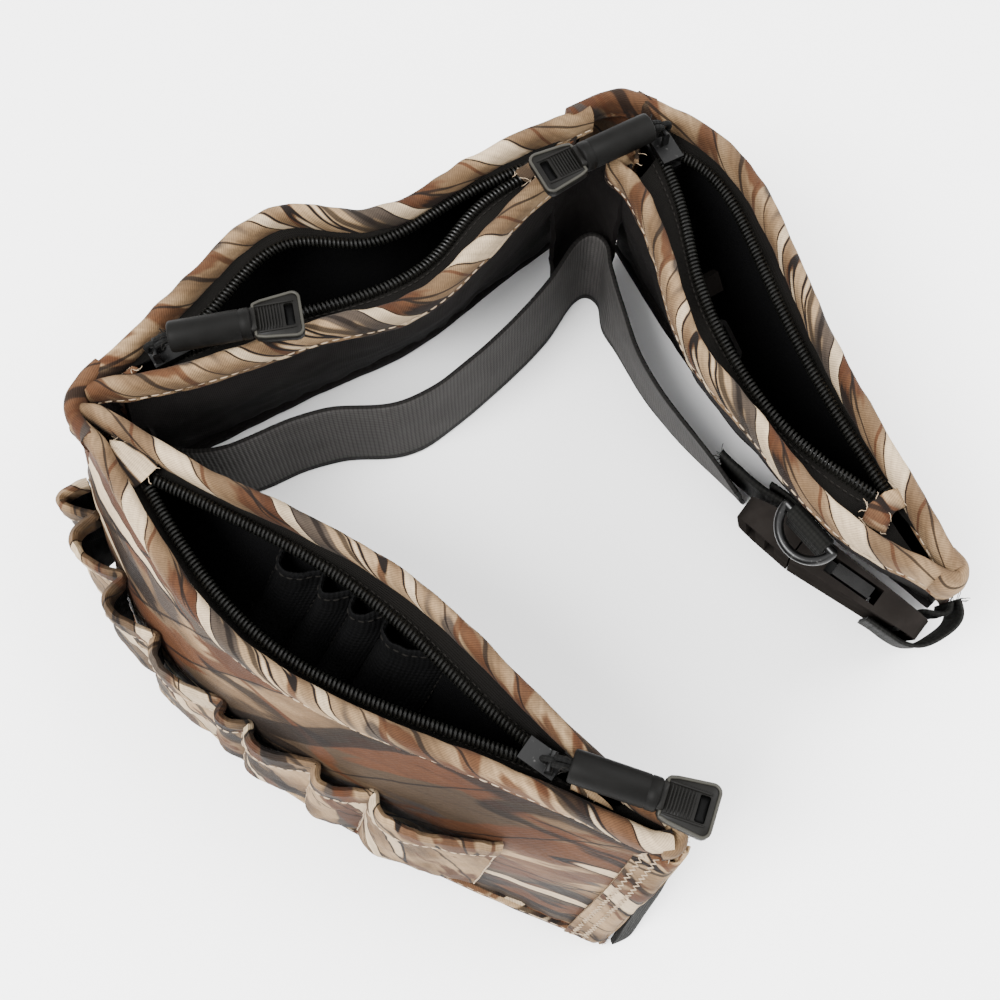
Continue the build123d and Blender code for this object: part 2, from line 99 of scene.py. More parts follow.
POCKETS = {
    "right": {
        "number": 3,
        "outer": [(148, -20), (131, 18), (115, 56), (100, 104), (81, 137), (54, 155)],
        "inner": [(140, -30), (115, -16), (84, 23), (62, 58), (53, 97), (43, 121)],
        "bottom": [(169, -10), (147, 11), (119, 41), (92, 76), (73, 108), (53, 147)],
        "bellies": {"outer": 3, "inner": 3},
        "closed": (127, 1),
        "slider": (60, 135),
        "coils": {
            "outer": [(116.5, 26), (102, 60), (89.5, 97), (74, 127)],
            "inner": [(100, 21), (80, 52), (69, 86), (65, 112)],
        },
        "pull_angle": -152.0,
        "patches": [
            [(118.2, -9.5), (121.5, -3), (127.5, 1.5), (133.2, 3.0), (134.5, -3.5), (129.5, -6), (126, -13.5)],
            [(50.8, 144), (48.2, 127.5), (50.2, 128), (50.8, 139)],
        ],
    },
    "centre": {
        "number": 2,
        "outer": [(28, 149), (-12, 128), (-50, 107), (-76, 109), (-108, 82), (-138, 46)],
        "inner": [(21, 121), (0, 97), (-30, 67), (-60, 58), (-97, 44), (-128, 36)],
        "bottom": [(25, 155), (-6, 129), (-42, 99), (-72, 84), (-105, 66), (-143, 45)],
        "bellies": {"outer": 4, "inner": 3},
        "closed": (9, 126),
        "slider": (-113.8, 52.9),
        "coils": {
            "outer": [(-15, 115), (-49, 96.5), (-75, 96.5), (-99.5, 71.5)],
            "inner": [(-8, 111), (-24, 90), (-42, 78), (-88, 63)],
        },
        "pull_angle": 11.0,
        "patches": [
            [(27, 137.5), (18, 127.5), (9.5, 119.5), (5, 124.5), (10, 128)],
            [(-129.5, 43.4), (-124.5, 44.2), (-123.5, 46.5), (-125.5, 46.8)],
        ],
    },
    "left": {
        "number": 1,
        "outer": [(-140, 21), (-121, -10), (-90, -50), (-48, -76), (0, -95), (50.5, -117.5)],
        "inner": [(-128, 28), (-97, 9), (-56, -11), (-19, -36), (15, -70), (48.2, -100.8)],
        "bottom": [(-149, 20), (-136, -20), (-101, -62), (-56, -92), (-8, -115), (34, -132)],
        "bellies": {"outer": 7, "inner": 11},
        "closed": (-116, 5),
        "slider": (12.8, -86.6),
        "coils": {
            "outer": [(-105.5, -15), (-74.5, -49.5), (-33, -71.5), (-6, -81.5)],
            "inner": [(-88, -7), (-62, -21), (-30, -45), (-2, -72)],
        },
        "pull_angle": -19.0,
        "patches": [
            [(-131, 20), (-129, 6.5), (-124.5, 0.5), (-118.5, 4.5), (-113.5, 10.5), (-116.5, 17.5)],
            [(21.5, -96), (35, -102.6), (34, -101), (26, -94.2), (23, -91)],
        ],
    },
}

LEFT_WEB = (
    [(-145.8, 43.2), (-148.5, 38), (-149.8, 32.5), (-150, 27), (-149.8, 23)],
    [(-139.8, 42.3), (-142.8, 38), (-144, 33), (-143.4, 28), (-141, 24.2)],
)
RIGHT_WEB = [(51.0, 153), (46, 154.6), (39, 154), (33, 151.5), (30.5, 150)]
WEB_CREASE = 0.6

SHELL_LOOPS = {
    "side": "outer",
    "low": 16.0,
    "high": 66.0,
    "seams": (0.012, 0.066, 0.167, 0.266, 0.397, 0.445, 0.551, 0.636, 0.815),
    "swells": (11.0, 11.5, 9.5, 7.0, 4.5, 5.5, 5.5, 7.5),
    "hem": 8.0,
}
CARTRIDGE_LOOPS = {
    "side": "inner",
    "low": 35.0,
    "high": 77.0,
    "seams": (0.31, 0.39, 0.447, 0.509, 0.617),
    "swells": (8.5, 8.5, 8.5, 9.5),
    "hem": 3.0,
}
LOOP_STAND_OFF = 0.7
LOOP_PROFILE = ((0.0, 0.0), (0.03, 0.42), (0.1, 0.84), (0.26, 1.0), (0.52, 0.86), (0.77, 0.46), (0.93, 0.14))

FRONT_RUN = (
    [(40, -136.5), (44, -135), (47.3, -132.5), (47.2, -128.8), (43.5, -125), (28, -109), (8, -90), (-50, -48),
     (-92, -12), (-122, 22)],
    [(47.5, -122), (53.5, -117), (58, -112.6), (58, -109), (54, -105.5), (38, -91), (20, -76), (-38, -27),
     (-90, 10), (-122, 27)],
)
LEFT_BEND = (
    [(-122.9, 24), (-126.4, 28), (-125.8, 33), (-118.8, 34)],
    [(-122.9, 27.6), (-126, 29.6), (-125, 33.3), (-118.8, 34)],
)
MIDDLE_RUN = [(-118, 34), (-88, 41), (-62, 50), (-40, 52), (-18, 65), (2, 84), (20, 105), (27, 117)]
APEX = [(27.5, 118), (30.5, 122), (36, 124.8), (41.5, 121), (43.2, 112), (43.6, 109.3)]
REAR_RUN = (
    [(43.8, 108.5), (48, 100), (58, 80), (68.5, 63.5), (80, 50.5), (90, 40), (98, 31)],
    [(43.8, 108.5), (46, 98), (52, 74), (60, 58), (70, 43), (79, 29), (86, 17)],
)

BUCKLE_HEADING = -38.0
BUCKLE_LEAN = 17.0
BUCKLE_ORIGIN = (92.3, 16.8, 30.6)
WEBBING_OUTER = [(58, -7.4), (66, -7.4), (73, -7.0), (78.5, -4),
                 (82.3, 3), (83.8, 11), (82.2, 14.2), (79.2, 16.4)]
WEBBING_INNER = [(68.3, -4.6), (68.8, -1.5), (69.6, 1.5), (71.8, 5.8),
                 (77.3, 8.6), (79.2, 11.4), (78.0, 14.2)]
WEBBING_WIDTH = 46.0
TAIL_LAYERS = (
    ([(-18, 11), (-8, 9.4), (3, 8.8), (11, 9.2)], 2.4),
    ([(3, 12.3), (12, 12.2), (20, 10.6)], 1.5),
)
TAIL_WIDTH = 48.0

RING_BAR = (104.9, -6.5, 80.0)
RING_HEADING = 128.5
RING_WIRE = 1.7
TAB_WIDTH = 17.0
TAB_LENGTH = 14.0
TAB_THICKNESS = 1.0
KEY_ANCHOR = (60.2, 99.2, 84.0)
KEY_BUCKLE = (76.0, 98.0, 60.0)


# Lines in plan

def spline(points, per_span=PER_SPAN):
    """Points on a natural cubic through the given ones, with the same number in every span."""
    points = np.asarray(points, float)
    steps = np.linalg.norm(np.diff(points, axis=0), axis=1)
    slopes = np.diff(points, axis=0) / steps[:, None]
    system, right = np.eye(len(points)), np.zeros_like(points)
    for i in range(1, len(points) - 1):
        system[i, i - 1:i + 2] = steps[i - 1], 2 * (steps[i - 1] + steps[i]), steps[i]
        right[i] = 3 * (slopes[i] - slopes[i - 1])
    bends = np.linalg.solve(system, right)
    line = []
    for i, step in enumerate(steps):
        start = slopes[i] - step * (2 * bends[i] + bends[i + 1]) / 3
        turn = (bends[i + 1] - bends[i]) / (3 * step)
        for s in np.linspace(0, step, per_span, endpoint=False):
            line.append(points[i] + start * s + bends[i] * s**2 + turn * s**3)
    return np.array(line + [points[-1]])


def lengths(line):
    """How far along a line each of its points is."""
    return np.concatenate(([0], np.cumsum(np.linalg.norm(np.diff(line, axis=0), axis=1))))


def even(line, count, start=0.0, end=1.0):
    """Evenly spaced points along part of a line, between two shares of its length."""
    far = lengths(line)
    wanted = np.linspace(start, end, count) * far[-1]
    return np.stack([np.interp(wanted, far, line[:, k]) for k in range(line.shape[1])], axis=1)


def unit(vectors):
    return vectors / np.maximum(np.linalg.norm(vectors, axis=-1, keepdims=True), 1e-9)


def left_of(line):
    """Level direction to the left of a line at each of its points."""
    ahead = unit(np.gradient(line[:, :2], axis=0))
    return np.stack((-ahead[:, 1], ahead[:, 0]), axis=1)


def shifted(line, distances):
    """A plan line moved to its left by a distance, or by one distance for each point."""
    line = np.asarray(line, float)
    return line + left_of(line) * np.reshape(distances, (-1, 1))


def control_shift(points, distances):
    """As shifted(), for the few points that a spline goes through."""
    points = np.asarray(points, float)
    ahead = np.array([points[min(i + 1, len(points) - 1)] - points[max(i - 1, 0)]
                      for i in range(len(points))])
    ahead = unit(ahead)
    return points + np.stack((-ahead[:, 1], ahead[:, 0]), axis=1) * np.reshape(distances, (-1, 1))


def lifted(line, z):
    """Plan line at a height, or at one height for each point."""
    return np.column_stack((line, np.broadcast_to(z, len(line))))


def crumple(points, size, seed=0.0):
    """Smooth noise from about -1 to 1 at each point, with lumps of about the given size."""
    flat = np.reshape(points, (-1, 3)) / size + seed
    return np.reshape([noise.noise(Vector(p)) for p in flat], np.shape(points)[:-1]) * 1.6


# Meshes

class Cloth:
    """Collects the faces of one piece, with each corner's place on the flat cloth and each face's paint."""

    def __init__(self):
        self.points, self.faces, self.corners, self.paints = [], [], [], []

    def add(self, points, faces, corners, paints):
        start = len(self.points)
        self.points += [tuple(p) for p in points]
        self.faces += [[start + i for i in face] for face in faces]
        self.corners += corners
        self.paints += paints

    def tube(self, rings, paints, across=None):
        """Closed skin round rings of points: rings[k][c] is point k of column c's loop. The loop goes up one
        side, over its top, down the other and through its bottom, which comes last. Both ends are closed."""
        rings = np.asarray(rings, float)
        count, columns = rings.shape[:2]
        side = (count - 2) // 2
        middle = rings[:, columns // 2]
        u = lengths(rings.mean(axis=0)) * MM
        v = lengths(np.vstack((middle, middle[:1]))) * MM if across is None else across
        index = np.arange(count * columns).reshape(count, columns)
        faces, corners, kinds = [], [], []
        for k in range(count):
            n = (k + 1) % count
            for c in range(columns - 1):
                faces.append((index[k, c], index[k, c + 1], index[n, c + 1], index[n, c]))
                corners.append(((u[c], v[k]), (u[c + 1], v[k]), (u[c + 1], v[k + 1]), (u[c], v[k + 1])))
                kinds.append(paints[k])
        for c in (0, columns - 1):
            caps = [(2 * side, 2 * side + 1, 0), (side - 1, side, side + 1)]
            caps += [(i, i + 1, 2 * side - i - 1, 2 * side - i) for i in range(side - 1)]
            for cap in caps:
                faces.append([index[k, c] for k in cap])
                corners.append([(u[c], v[k]) for k in cap])
                kinds.append(paints[cap[0]])
        self.add(rings.reshape(-1, 3), faces, corners, kinds)

    def shell(self, middle, thickness, right=0, left=0, edge=0.4):
        """Cloth of a thickness round a grid of points, whose rows go up and whose columns go along."""
        middle = np.asarray(middle, float)
        along, up = np.gradient(middle, axis=1), np.gradient(middle, axis=0)
        out = unit(np.cross(along, up)) * thickness / 2
        top = middle[-1:] + unit(up[-1:]) * thickness * edge
        foot = middle[:1] - unit(up[:1]) * thickness * edge
        rings = np.concatenate((middle + out, top, (middle - out)[::-1], foot))
        rows = len(middle)
        self.tube(rings, [right] * rows + [left] * rows + [right, right])
        return out

    def sweep(self, line, profile, paint=0, wobble=0.0, seed=0.0, left=None):
        """A profile of (right, up) points, as tube() wants them, carried along a line in space."""
        line, profile = np.asarray(line, float), np.asarray(profile, float)
        right = -left_of(line)
        right = np.column_stack((right, np.zeros(len(line))))
        rings = line[None] + profile[:, :1, None] * right[None]
        rings[..., 2] += profile[:, 1:2]
        if wobble:
            heart = line + np.array((0, 0, profile[:, 1].mean()))
            rings += (rings - heart) * crumple(rings, 9, seed)[..., None] * wobble
        kinds = [paint if x >= 0 or left is None else left for x, _ in profile]
        self.tube(rings, kinds)

    def thread(self, path, radius, paint=0, sides=6):
        """Round thread along a path in space, with closed tapered ends."""
        path = np.asarray(path, float)
        ahead = unit(np.gradient(path, axis=0))
        level = np.where(np.abs(ahead[:, 2:]) > 0.95, (1.0, 0.0, 0.0), (0.0, 0.0, 1.0))
        side = unit(np.cross(ahead, level))
        up = np.cross(side, ahead)
        width = np.full(len(path), radius)
        width[[0, -1]] *= 0.45
        angles = np.arange(sides) * 2 * math.pi / sides
        points = [path[i] + width[i] * (math.cos(a) * side[i] + math.sin(a) * up[i])
                  for i in range(len(path)) for a in angles]
        self.loops(points, len(path), sides, paint)

    def loops(self, points, count, sides, paint):
        """Skin over a stack of rings with the same number of sides, closed at both ends."""
        far = lengths(np.reshape(points, (count, sides, 3)).mean(axis=1)) * MM
        faces, corners = [], []
        for i in range(count - 1):
            for k in range(sides):
                n = (k + 1) % sides
                faces.append((i * sides + k, i * sides + n, (i + 1) * sides + n, (i + 1) * sides + k))
                v = (k * MM, (k + 1) * MM)
                corners.append(((far[i], v[0]), (far[i], v[1]), (far[i + 1], v[1]), (far[i + 1], v[0])))
        for i in (0, count - 1):
            faces.append([i * sides + k for k in range(sides)])
            corners.append([(far[i], k * MM) for k in range(sides)])
        self.add(points, faces, corners, [paint] * len(faces))

    def stitches(self, line, paint, pitch=STITCH_PITCH, stand_off=0.0):
        """Running stitch along a line in space."""
        far = lengths(line)
        count = max(int(far[-1] / pitch), 1)
        for i in range(count):
            share = (i + 0.5 + chance.uniform(-0.06, 0.06)) / count
            half = 0.34 * pitch / far[-1]
            run = even(line, 5, max(share - half, 0), min(share + half, 1))
            run[:, 2] += chance.uniform(-0.1, 0.1) + stand_off
            self.thread(run, THREAD, paint)

    def piece(self, name, *materials):
        mesh = bpy.data.meshes.new(name)
        mesh.from_pydata([tuple(p) for p in (np.array(self.points) + ORIGIN) * MM], [], self.faces)
        flat = mesh.uv_layers.new(name="cloth")
        flat.data.foreach_set("uv", np.array([c for face in self.corners for c in face]).ravel())
        mesh.polygons.foreach_set("material_index", self.paints)
        for material in materials:
            mesh.materials.append(material)
        mesh.polygons.foreach_set("use_smooth", [True] * len(self.faces))
        build = bmesh.new()
        build.from_mesh(mesh)
        bmesh.ops.recalc_face_normals(build, faces=build.faces)
        for edge in build.edges:
            if len(edge.link_faces) == 2 and edge.calc_face_angle() > SHARP:
                edge.smooth = False
        build.to_mesh(mesh)
        build.free()
        made = bpy.data.objects.new(name, mesh)
        bpy.context.scene.collection.objects.link(made)
        return made


# Materials

class Shader:
    """A material built up node by node, on the cloth's flat coordinates in metres."""

    def __init__(self, name, roughness=0.8, sheen=0.0, coat=0.0, specular=0.5, metallic=0.0):
        self.material = bpy.data.materials.new(name)
        self.material.use_nodes = True
        self.tree = self.material.node_tree
        self.surface = next(n for n in self.tree.nodes if n.type == "BSDF_PRINCIPLED")
        settings = {"Roughness": roughness, "Sheen Weight": sheen, "Coat Weight": coat,
                    "Specular IOR Level": specular, "Metallic": metallic}
        for key, value in settings.items():
            self.surface.inputs[key].default_value = value

    def node(self, kind, inputs, output=0, **settings):
        made = self.tree.nodes.new("ShaderNode" + kind)
        for key, value in settings.items():
            setattr(made, key, value)
        for key, value in inputs.items():
            self.put(made.inputs[key], value)
        return made.outputs[output]

    def put(self, socket, value):
        if isinstance(value, bpy.types.NodeSocket):
            self.tree.links.new(value, socket)
        else:
            socket.default_value = value

    def flat(self, turn=0.0, scale=(1, 1), shift=(0, 0)):
        where = self.node("UVMap", {}, uv_map="cloth")
        turned = self.node("Mapping", {"Vector": where, "Rotation": (0, 0, math.radians(turn)),
                                       "Location": (*shift, 0)})
        return self.node("Mapping", {"Vector": turned, "Scale": (*scale, 1)})

    def solid(self, scale=1.0):
        where = self.node("TexCoord", {}, output="Object")
        return self.node("Mapping", {"Vector": where, "Scale": (scale,) * 3})

    def noise(self, where, scale=1.0, detail=3.0, roughness=0.5, distortion=0.0):
        return self.node("TexNoise", {"Vector": where, "Scale": scale, "Detail": detail,
                                      "Roughness": roughness, "Distortion": distortion})

    def ribs(self, turn, period, distortion=0.0):
        """Parallel ribs, one to each period in metres."""
        scale = 2 * math.pi / 20 / period
        return self.node("TexWave", {"Vector": self.flat(turn), "Scale": scale, "Distortion": distortion,
                                     "Detail": 1.0}, output="Fac")

    def ramp(self, value, *stops, smooth=True):
        made = self.tree.nodes.new("ShaderNodeValToRGB")
        made.color_ramp.interpolation = "LINEAR" if smooth else "CONSTANT"
        elements = made.color_ramp.elements
        while len(elements) < len(stops):
            elements.new(0.5)
        for element, (place, colour) in zip(elements, stops):
            element.position = place
            element.color = (*colour, 1) if hasattr(colour, "__len__") else (colour, colour, colour, 1)
        self.put(made.inputs["Fac"], value)
        return made.outputs["Color"]

    def mix(self, share, a, b, blend="MIX"):
        made = self.tree.nodes.new("ShaderNodeMix")
        made.data_type, made.blend_type = "RGBA", blend
        for key, value in (("Factor_Float", share), ("A_Color", a), ("B_Color", b)):
            socket = next(s for s in made.inputs if s.identifier == key)
            self.put(socket, (*value, 1) if isinstance(value, tuple) else value)
        return next(s for s in made.outputs if s.identifier == "Result_Color")

    def math(self, operation, a, b):
        return self.node("Math", {0: a, 1: b}, operation=operation)

    def near(self, value, level, width):
        """1 where a value is at a level, falling to 0 a width away from it."""
        away = self.node("Math", {0: self.math("SUBTRACT", value, level)}, operation="ABSOLUTE")
        return self.ramp(self.math("DIVIDE", away, width), (0.55, 1.0), (1.0, 0.0))

    def finish(self, colour, *bumps, roughness=None):
        """Colour, and bumps as (height, strength, distance in metres)."""
        self.put(self.surface.inputs["Base Color"], (*colour, 1) if isinstance(colour, tuple) else colour)
        if roughness is not None:
            self.put(self.surface.inputs["Roughness"], roughness)
        normal = None
        for height, strength, distance in bumps:
            inputs = {"Height": height, "Strength": strength, "Distance": distance}
            if normal is not None:
                inputs["Normal"] = normal
            normal = self.node("Bump", inputs)
        if normal is not None:
            self.put(self.surface.inputs["Normal"], normal)
        return self.material


PALE = (0.44, 0.335, 0.215)
CREAM = (0.270, 0.180, 0.098)
SAND = (0.120, 0.072, 0.036)
STONE = (0.032, 0.0195, 0.0105)
RUST = (0.050, 0.0165, 0.0050)
SLATE = (0.024, 0.0195, 0.0175)
TWIG = (0.0045, 0.0020, 0.0009)


def camo(name, reeds, rib, warm=0.5, shift=(0.0, 0.0), weave=1.0, gloss=0.86, pale=0.5, blotch=(11, 26)):
    """Marsh-grass print on a ribbed weave: mottled ground, rust and slate patches, long reeds, thin twigs."""
    s = Shader(name, roughness=gloss, sheen=0.01, specular=0.15)
    ground = s.flat(0, (1, 1), shift)
    warp = s.node("TexNoise", {"Vector": ground, "Scale": 22.0, "Detail": 1.0}, output="Color")
    bent = s.node("VectorMath", {0: warp, 1: (0.5, 0.5, 0.5)}, operation="SUBTRACT")
    bent = s.node("VectorMath", {0: bent, "Scale": 0.009}, operation="SCALE")
    placed = s.node("VectorMath", {0: ground, 1: bent}, operation="ADD")

    def streak(turn, scale, offset, detail=1.0):
        turned = s.node("Mapping", {"Vector": placed, "Rotation": (0, 0, math.radians(turn)),
                                    "Location": (offset, offset / 2, 0)})
        return s.noise(s.node("Mapping", {"Vector": turned, "Scale": (*scale, 1)}), detail=detail)

    along, across = blotch
    mottle = streak(reeds, (along, across), 0.3, 6)
    rim = 0.60 - 0.12 * pale
    colour = s.ramp(mottle, (rim - 0.15, STONE), (rim - 0.03, SAND), (rim + 0.07, CREAM))
    slate = streak(reeds + 14, (along, across * 1.3), 1.7, 3)
    colour = s.mix(s.ramp(slate, (0.565, 0.0), (0.59, 0.9)), colour, SLATE)
    rust = streak(reeds - 9, (along * 0.8, across * 1.5), 2.9, 4)
    edge = 0.625 - 0.12 * warm
    colour = s.mix(s.ramp(rust, (edge, 0.0), (edge + 0.022, 0.88)), colour, RUST)
    bark = streak(reeds + 7, (along, across * 2.2), 9.4, 4)
    colour = s.mix(s.ramp(bark, (0.585, 0.0), (0.61, 0.9)), colour, TWIG)
    for turn, offset, tint, width in ((reeds + 17, 5.3, RUST, 0.016), (reeds - 19, 6.7, TWIG, 0.010),
                                      (reeds + 3, 8.9, TWIG, 0.011)):
        line = streak(turn, (3.5, 30), offset)
        colour = s.mix(s.math("MULTIPLY", s.near(line, 0.5, width), 0.85), colour, tint)
    reed = streak(reeds + 5, (6, 78), 4.1)
    tip = 0.67 - 0.07 * pale
    colour = s.mix(s.near(reed, tip - 0.013, 0.014), colour, TWIG)
    colour = s.mix(s.ramp(reed, (tip, 0.0), (tip + 0.008, 0.95)), colour, PALE)
    veins = streak(reeds + 5, (16, 700), 7.7, 2)
    colour = s.mix(0.6, colour, s.ramp(veins, (0.35, 0.68), (0.6, 1.0)), "MULTIPLY")
    cloud = s.noise(s.solid(), 38, detail=3)
    colour = s.mix(0.6, colour, s.ramp(cloud, (0.36, 0.6), (0.6, 1.0)), "MULTIPLY")
    grain = s.noise(s.flat(0), 900, detail=2)
    colour = s.mix(0.6, colour, s.ramp(grain, (0.3, 0.72), (0.7, 1.0)), "MULTIPLY")
    ribs = s.ribs(rib, 0.0008, 0.6)
    colour = s.mix(0.5 * weave, colour, s.ramp(ribs, (0.0, 0.5), (0.6, 1.0)), "MULTIPLY")
    folds = s.noise(s.solid(), 160, detail=3)
    return s.finish(colour, (folds, 0.4, 0.0018), (ribs, 0.5 * weave, 0.0002), (grain, 0.25, 0.00015))


def neoprene(name, colour, knit):
    s = Shader(name, roughness=0.9, sheen=0.0, specular=0.08)
    rows = s.ribs(90, 0.0009, 0.3)
    lines = s.ribs(0, 0.0007, 0.3)
    mesh = s.math("MULTIPLY", rows, lines)
    cloud = s.noise(s.solid(), 45, detail=4)
    light = tuple(c * 1.5 for c in colour)
    tinted = s.mix(s.ramp(cloud, (0.35, 0.0), (0.7, 1.0)), colour, light)
    tinted = s.mix(0.4, tinted, s.ramp(mesh, (0.0, 0.6), (0.5, 1.0)), "MULTIPLY")
    return s.finish(tinted, (cloud, 0.2, 0.002), (mesh, knit, 0.0002))


def webbing(name, colour, across=90.0):
    """Elastic webbing: fine lengthways ribs crossed by courses, with fuzz."""
    s = Shader(name, roughness=0.85, sheen=0.0, specular=0.1)
    courses = s.ribs(0, 0.0017, 0.25)
    ribs = s.ribs(across, 0.0015, 0.2)
    cloud = s.noise(s.flat(0), 60, detail=3)
    fuzz = s.noise(s.flat(0, (1, 3)), 1500, detail=2)
    tinted = s.mix(s.ramp(cloud, (0.3, 0.0), (0.75, 1.0)), colour, tuple(c * 1.35 for c in colour))
    tinted = s.mix(0.55, tinted, s.ramp(courses, (0.0, 0.35), (0.45, 1.0)), "MULTIPLY")
    tinted = s.mix(0.45, tinted, s.ramp(ribs, (0.0, 0.45), (0.5, 1.0)), "MULTIPLY")
    tinted = s.mix(0.4, tinted, s.ramp(fuzz, (0.3, 0.6), (0.7, 1.0)), "MULTIPLY")
    return s.finish(tinted, (courses, 0.6, 0.0003), (ribs, 0.5, 0.00025), (fuzz, 0.3, 0.0002))


def plastic(name, colour, roughness, grain=0.12, coat=0.0, specular=0.2):
    """Moulded plastic with a fine spark-eroded skin and rubbed patches."""
    s = Shader(name, roughness=roughness, coat=coat, specular=specular)
    skin = s.noise(s.solid(), 2600, detail=2)
    rubbed = s.noise(s.solid(), 130, detail=4)
    tinted = s.mix(s.ramp(rubbed, (0.4, 0.0), (0.8, 1.0)), colour, tuple(c * 1.45 + 0.0004 for c in colour))
    dull = s.ramp(rubbed, (0.3, roughness - 0.07), (0.75, roughness + 0.08))
    return s.finish(tinted, (skin, grain, 0.0001), (rubbed, 0.05, 0.0005), roughness=dull)


def metal(name, colour, roughness):
    """Painted wire or zinc: dark, with bright rubbed places."""
    s = Shader(name, roughness=roughness, metallic=0.6)
    worn = s.noise(s.solid(), 420, detail=4, roughness=0.65)
    tinted = s.mix(s.ramp(worn, (0.62, 0.0), (0.72, 1.0)), colour, (0.07, 0.068, 0.066))
    return s.finish(tinted, (worn, 0.15, 0.0002))


def twisted(name, colour):
    """Sewing thread or frayed yarn."""
    s = Shader(name, roughness=0.9, sheen=0.0, specular=0.1)
    ply = s.ribs(35, 0.0005)
    return s.finish(s.mix(s.ramp(ply, (0.2, 0.0), (0.8, 1.0)), tuple(c * 0.7 for c in colour), colour),
                    (ply, 0.4, 0.0001))


PANEL_CAMO = camo("camo_panel", reeds=-9, rib=60, warm=0.8, gloss=0.7, weave=0.5, pale=0.25, blotch=(9, 34))
BINDING_CAMO = camo("camo_binding", reeds=40, rib=38, warm=0.85, shift=(0.21, 0.07), pale=0.75)
FOLD_CAMO = camo("camo_fold", reeds=52, rib=70, warm=1.1, shift=(0.4, 0.3), pale=0.3)
LOOP_CAMO = camo("camo_loops", reeds=60, rib=84, warm=0.6, shift=(0.9, 0.5), pale=0.85, blotch=(16, 30))
NEOPRENE = neoprene("neoprene_face", (0.0050, 0.0042, 0.0040), 0.5)
# Near-black copy of the neoprene for pocket insides and loop backs: black lining, darkened further as painted
# shade.
LINING_AND_SHADE = neoprene("pocket_lining_and_painted_shade", (0.0008, 0.0008, 0.0009), 0.4)
ZIP_TAPE = neoprene("zip_tape_weave", (0.0026, 0.0023, 0.0019), 0.8)
COIL_PLASTIC = plastic("coil_nylon", (0.0022, 0.0022, 0.0018), 0.34)
STRAP_WEB = webbing("strap_webbing", (0.034, 0.032, 0.0305))
STRAP_EDGE = webbing("strap_selvedge", (0.006, 0.0055, 0.005))
TAB_WEB = webbing("black_webbing", (0.0050, 0.0050, 0.0044))
BLACK_ELASTIC = webbing("black_elastic", (0.0012, 0.0012, 0.0013))
BLACK_CORD = webbing("black_cord", (0.0030, 0.0030, 0.0028))
PALE_THREAD = twisted("pale_thread", (0.34, 0.26, 0.18))
DARK_THREAD = twisted("dark_thread", (0.009, 0.008, 0.007))
GRIP_RUBBER = plastic("grip_rubber", (0.0022, 0.0021, 0.0019), 0.55, 0.3, specular=0.06)
PLATE_PLASTIC = plastic("plate_plastic", (0.0034, 0.0032, 0.0028), 0.45, specular=0.08)
PLATE_SLOT = plastic("plate_slot_shadow", (0.0007, 0.0007, 0.0007), 0.6, specular=0.05)
PLATE_RIM_WEAR_AND_HIGHLIGHT = plastic("plate_rim_wear_and_painted_highlight", (0.016, 0.015, 0.0115), 0.5)
BUCKLE_PLASTIC = plastic("buckle_acetal", (0.0095, 0.0082, 0.0074), 0.5, specular=0.0)
LATCH_PLASTIC = plastic("latch_acetal", (0.0018, 0.0016, 0.0015), 0.3, specular=0.15)
SLIDER_METAL = metal("slider_painted", (0.003, 0.003, 0.003), 0.4)
RING_STEEL = metal("ring_blackened", (0.005, 0.005, 0.005), 0.3)
HOOK_STEEL = metal("hook_nickel", (0.06, 0.058, 0.056), 0.3)

# A binding's section as tube() wants it: up its right side, over the top and down its left side
BINDING_SIDE = ((2.0, 0.0), (2.85, 0.4), (3.0, 1.3), (2.55, 2.1), (3.0, 3.0), (3.2, 5.2), (3.1, 8.0),
                (2.7, 10.0), (1.6, 11.7))
BINDING_SECTION = ([*BINDING_SIDE, (0.0, 12.3)] + [(-x, z) for x, z in reversed(BINDING_SIDE)] + [(0.0, 0.0)])
STITCH_OUT = 2.75
STITCH_UP = 2.1


def bind(cloth, line, seed, height=BINDING_HEIGHT, width=BINDING, stitch=True):
    """Doubled cloth folded over an edge, sewn through near its lower side."""
    scale = np.array((width / BINDING, height / BINDING_HEIGHT))
    line = np.array(line)
    line[:, 2] += crumple(line, 22, seed) * 0.5
    cloth.sweep(line, np.array(BINDING_SECTION) * scale, wobble=0.10, seed=seed)
    if stitch:
        for side in (-1, 1):
            seam = np.column_stack((shifted(line[:, :2], side * STITCH_OUT * scale[0]),
                                    line[:, 2] + STITCH_UP * scale[1]))
            cloth.stitches(seam, 1)


def panel_grid(pocket, side, low=SEAM_HEIGHT - 1.5, high=PANEL_TOP + 2.0, rows=26):
    """Middle of a panel: from its foot out to its waist and in again to its rim."""
    out = -1 if side == "outer" else 1
    foot = control_shift(pocket["bottom"], out * SEAM_SPREAD)
    top = control_shift(pocket[side], -out * BINDING / 2)
    level = foot + (top - foot) * (WAIST - SEAM_HEIGHT) / (PANEL_TOP - SEAM_HEIGHT)
    waist = control_shift(level, [out * pocket["bellies"][side] * share for share in SWELL])
    heights = np.linspace(low, high, rows)
    lines = []
    for z in heights:
        if z < WAIST:
            share = (z - SEAM_HEIGHT) / (WAIST - SEAM_HEIGHT)
            lines.append(foot + (waist - foot) * max(share, 0))
        else:
            share = (z - WAIST) / (PANEL_TOP - WAIST)
            lines.append(waist + (top - waist) * min(share, 1))
    lines = np.array(lines)
    for _ in range(3):
        lines[1:-1] = (lines[:-2] + 2 * lines[1:-1] + lines[2:]) / 4
    return np.array([lifted(spline(line), z) for line, z in zip(lines, heights)])


def creased(grid, depth, size, seed):
    """Grid pushed in and out along its own normals in broad lumps with finer creases."""
    along, up = np.gradient(grid, axis=1), np.gradient(grid, axis=0)
    out = unit(np.cross(along, up))
    shape = crumple(grid, size, seed) + 0.45 * crumple(grid, size / 3, seed + 7)
    return grid + out * shape[..., None] * depth


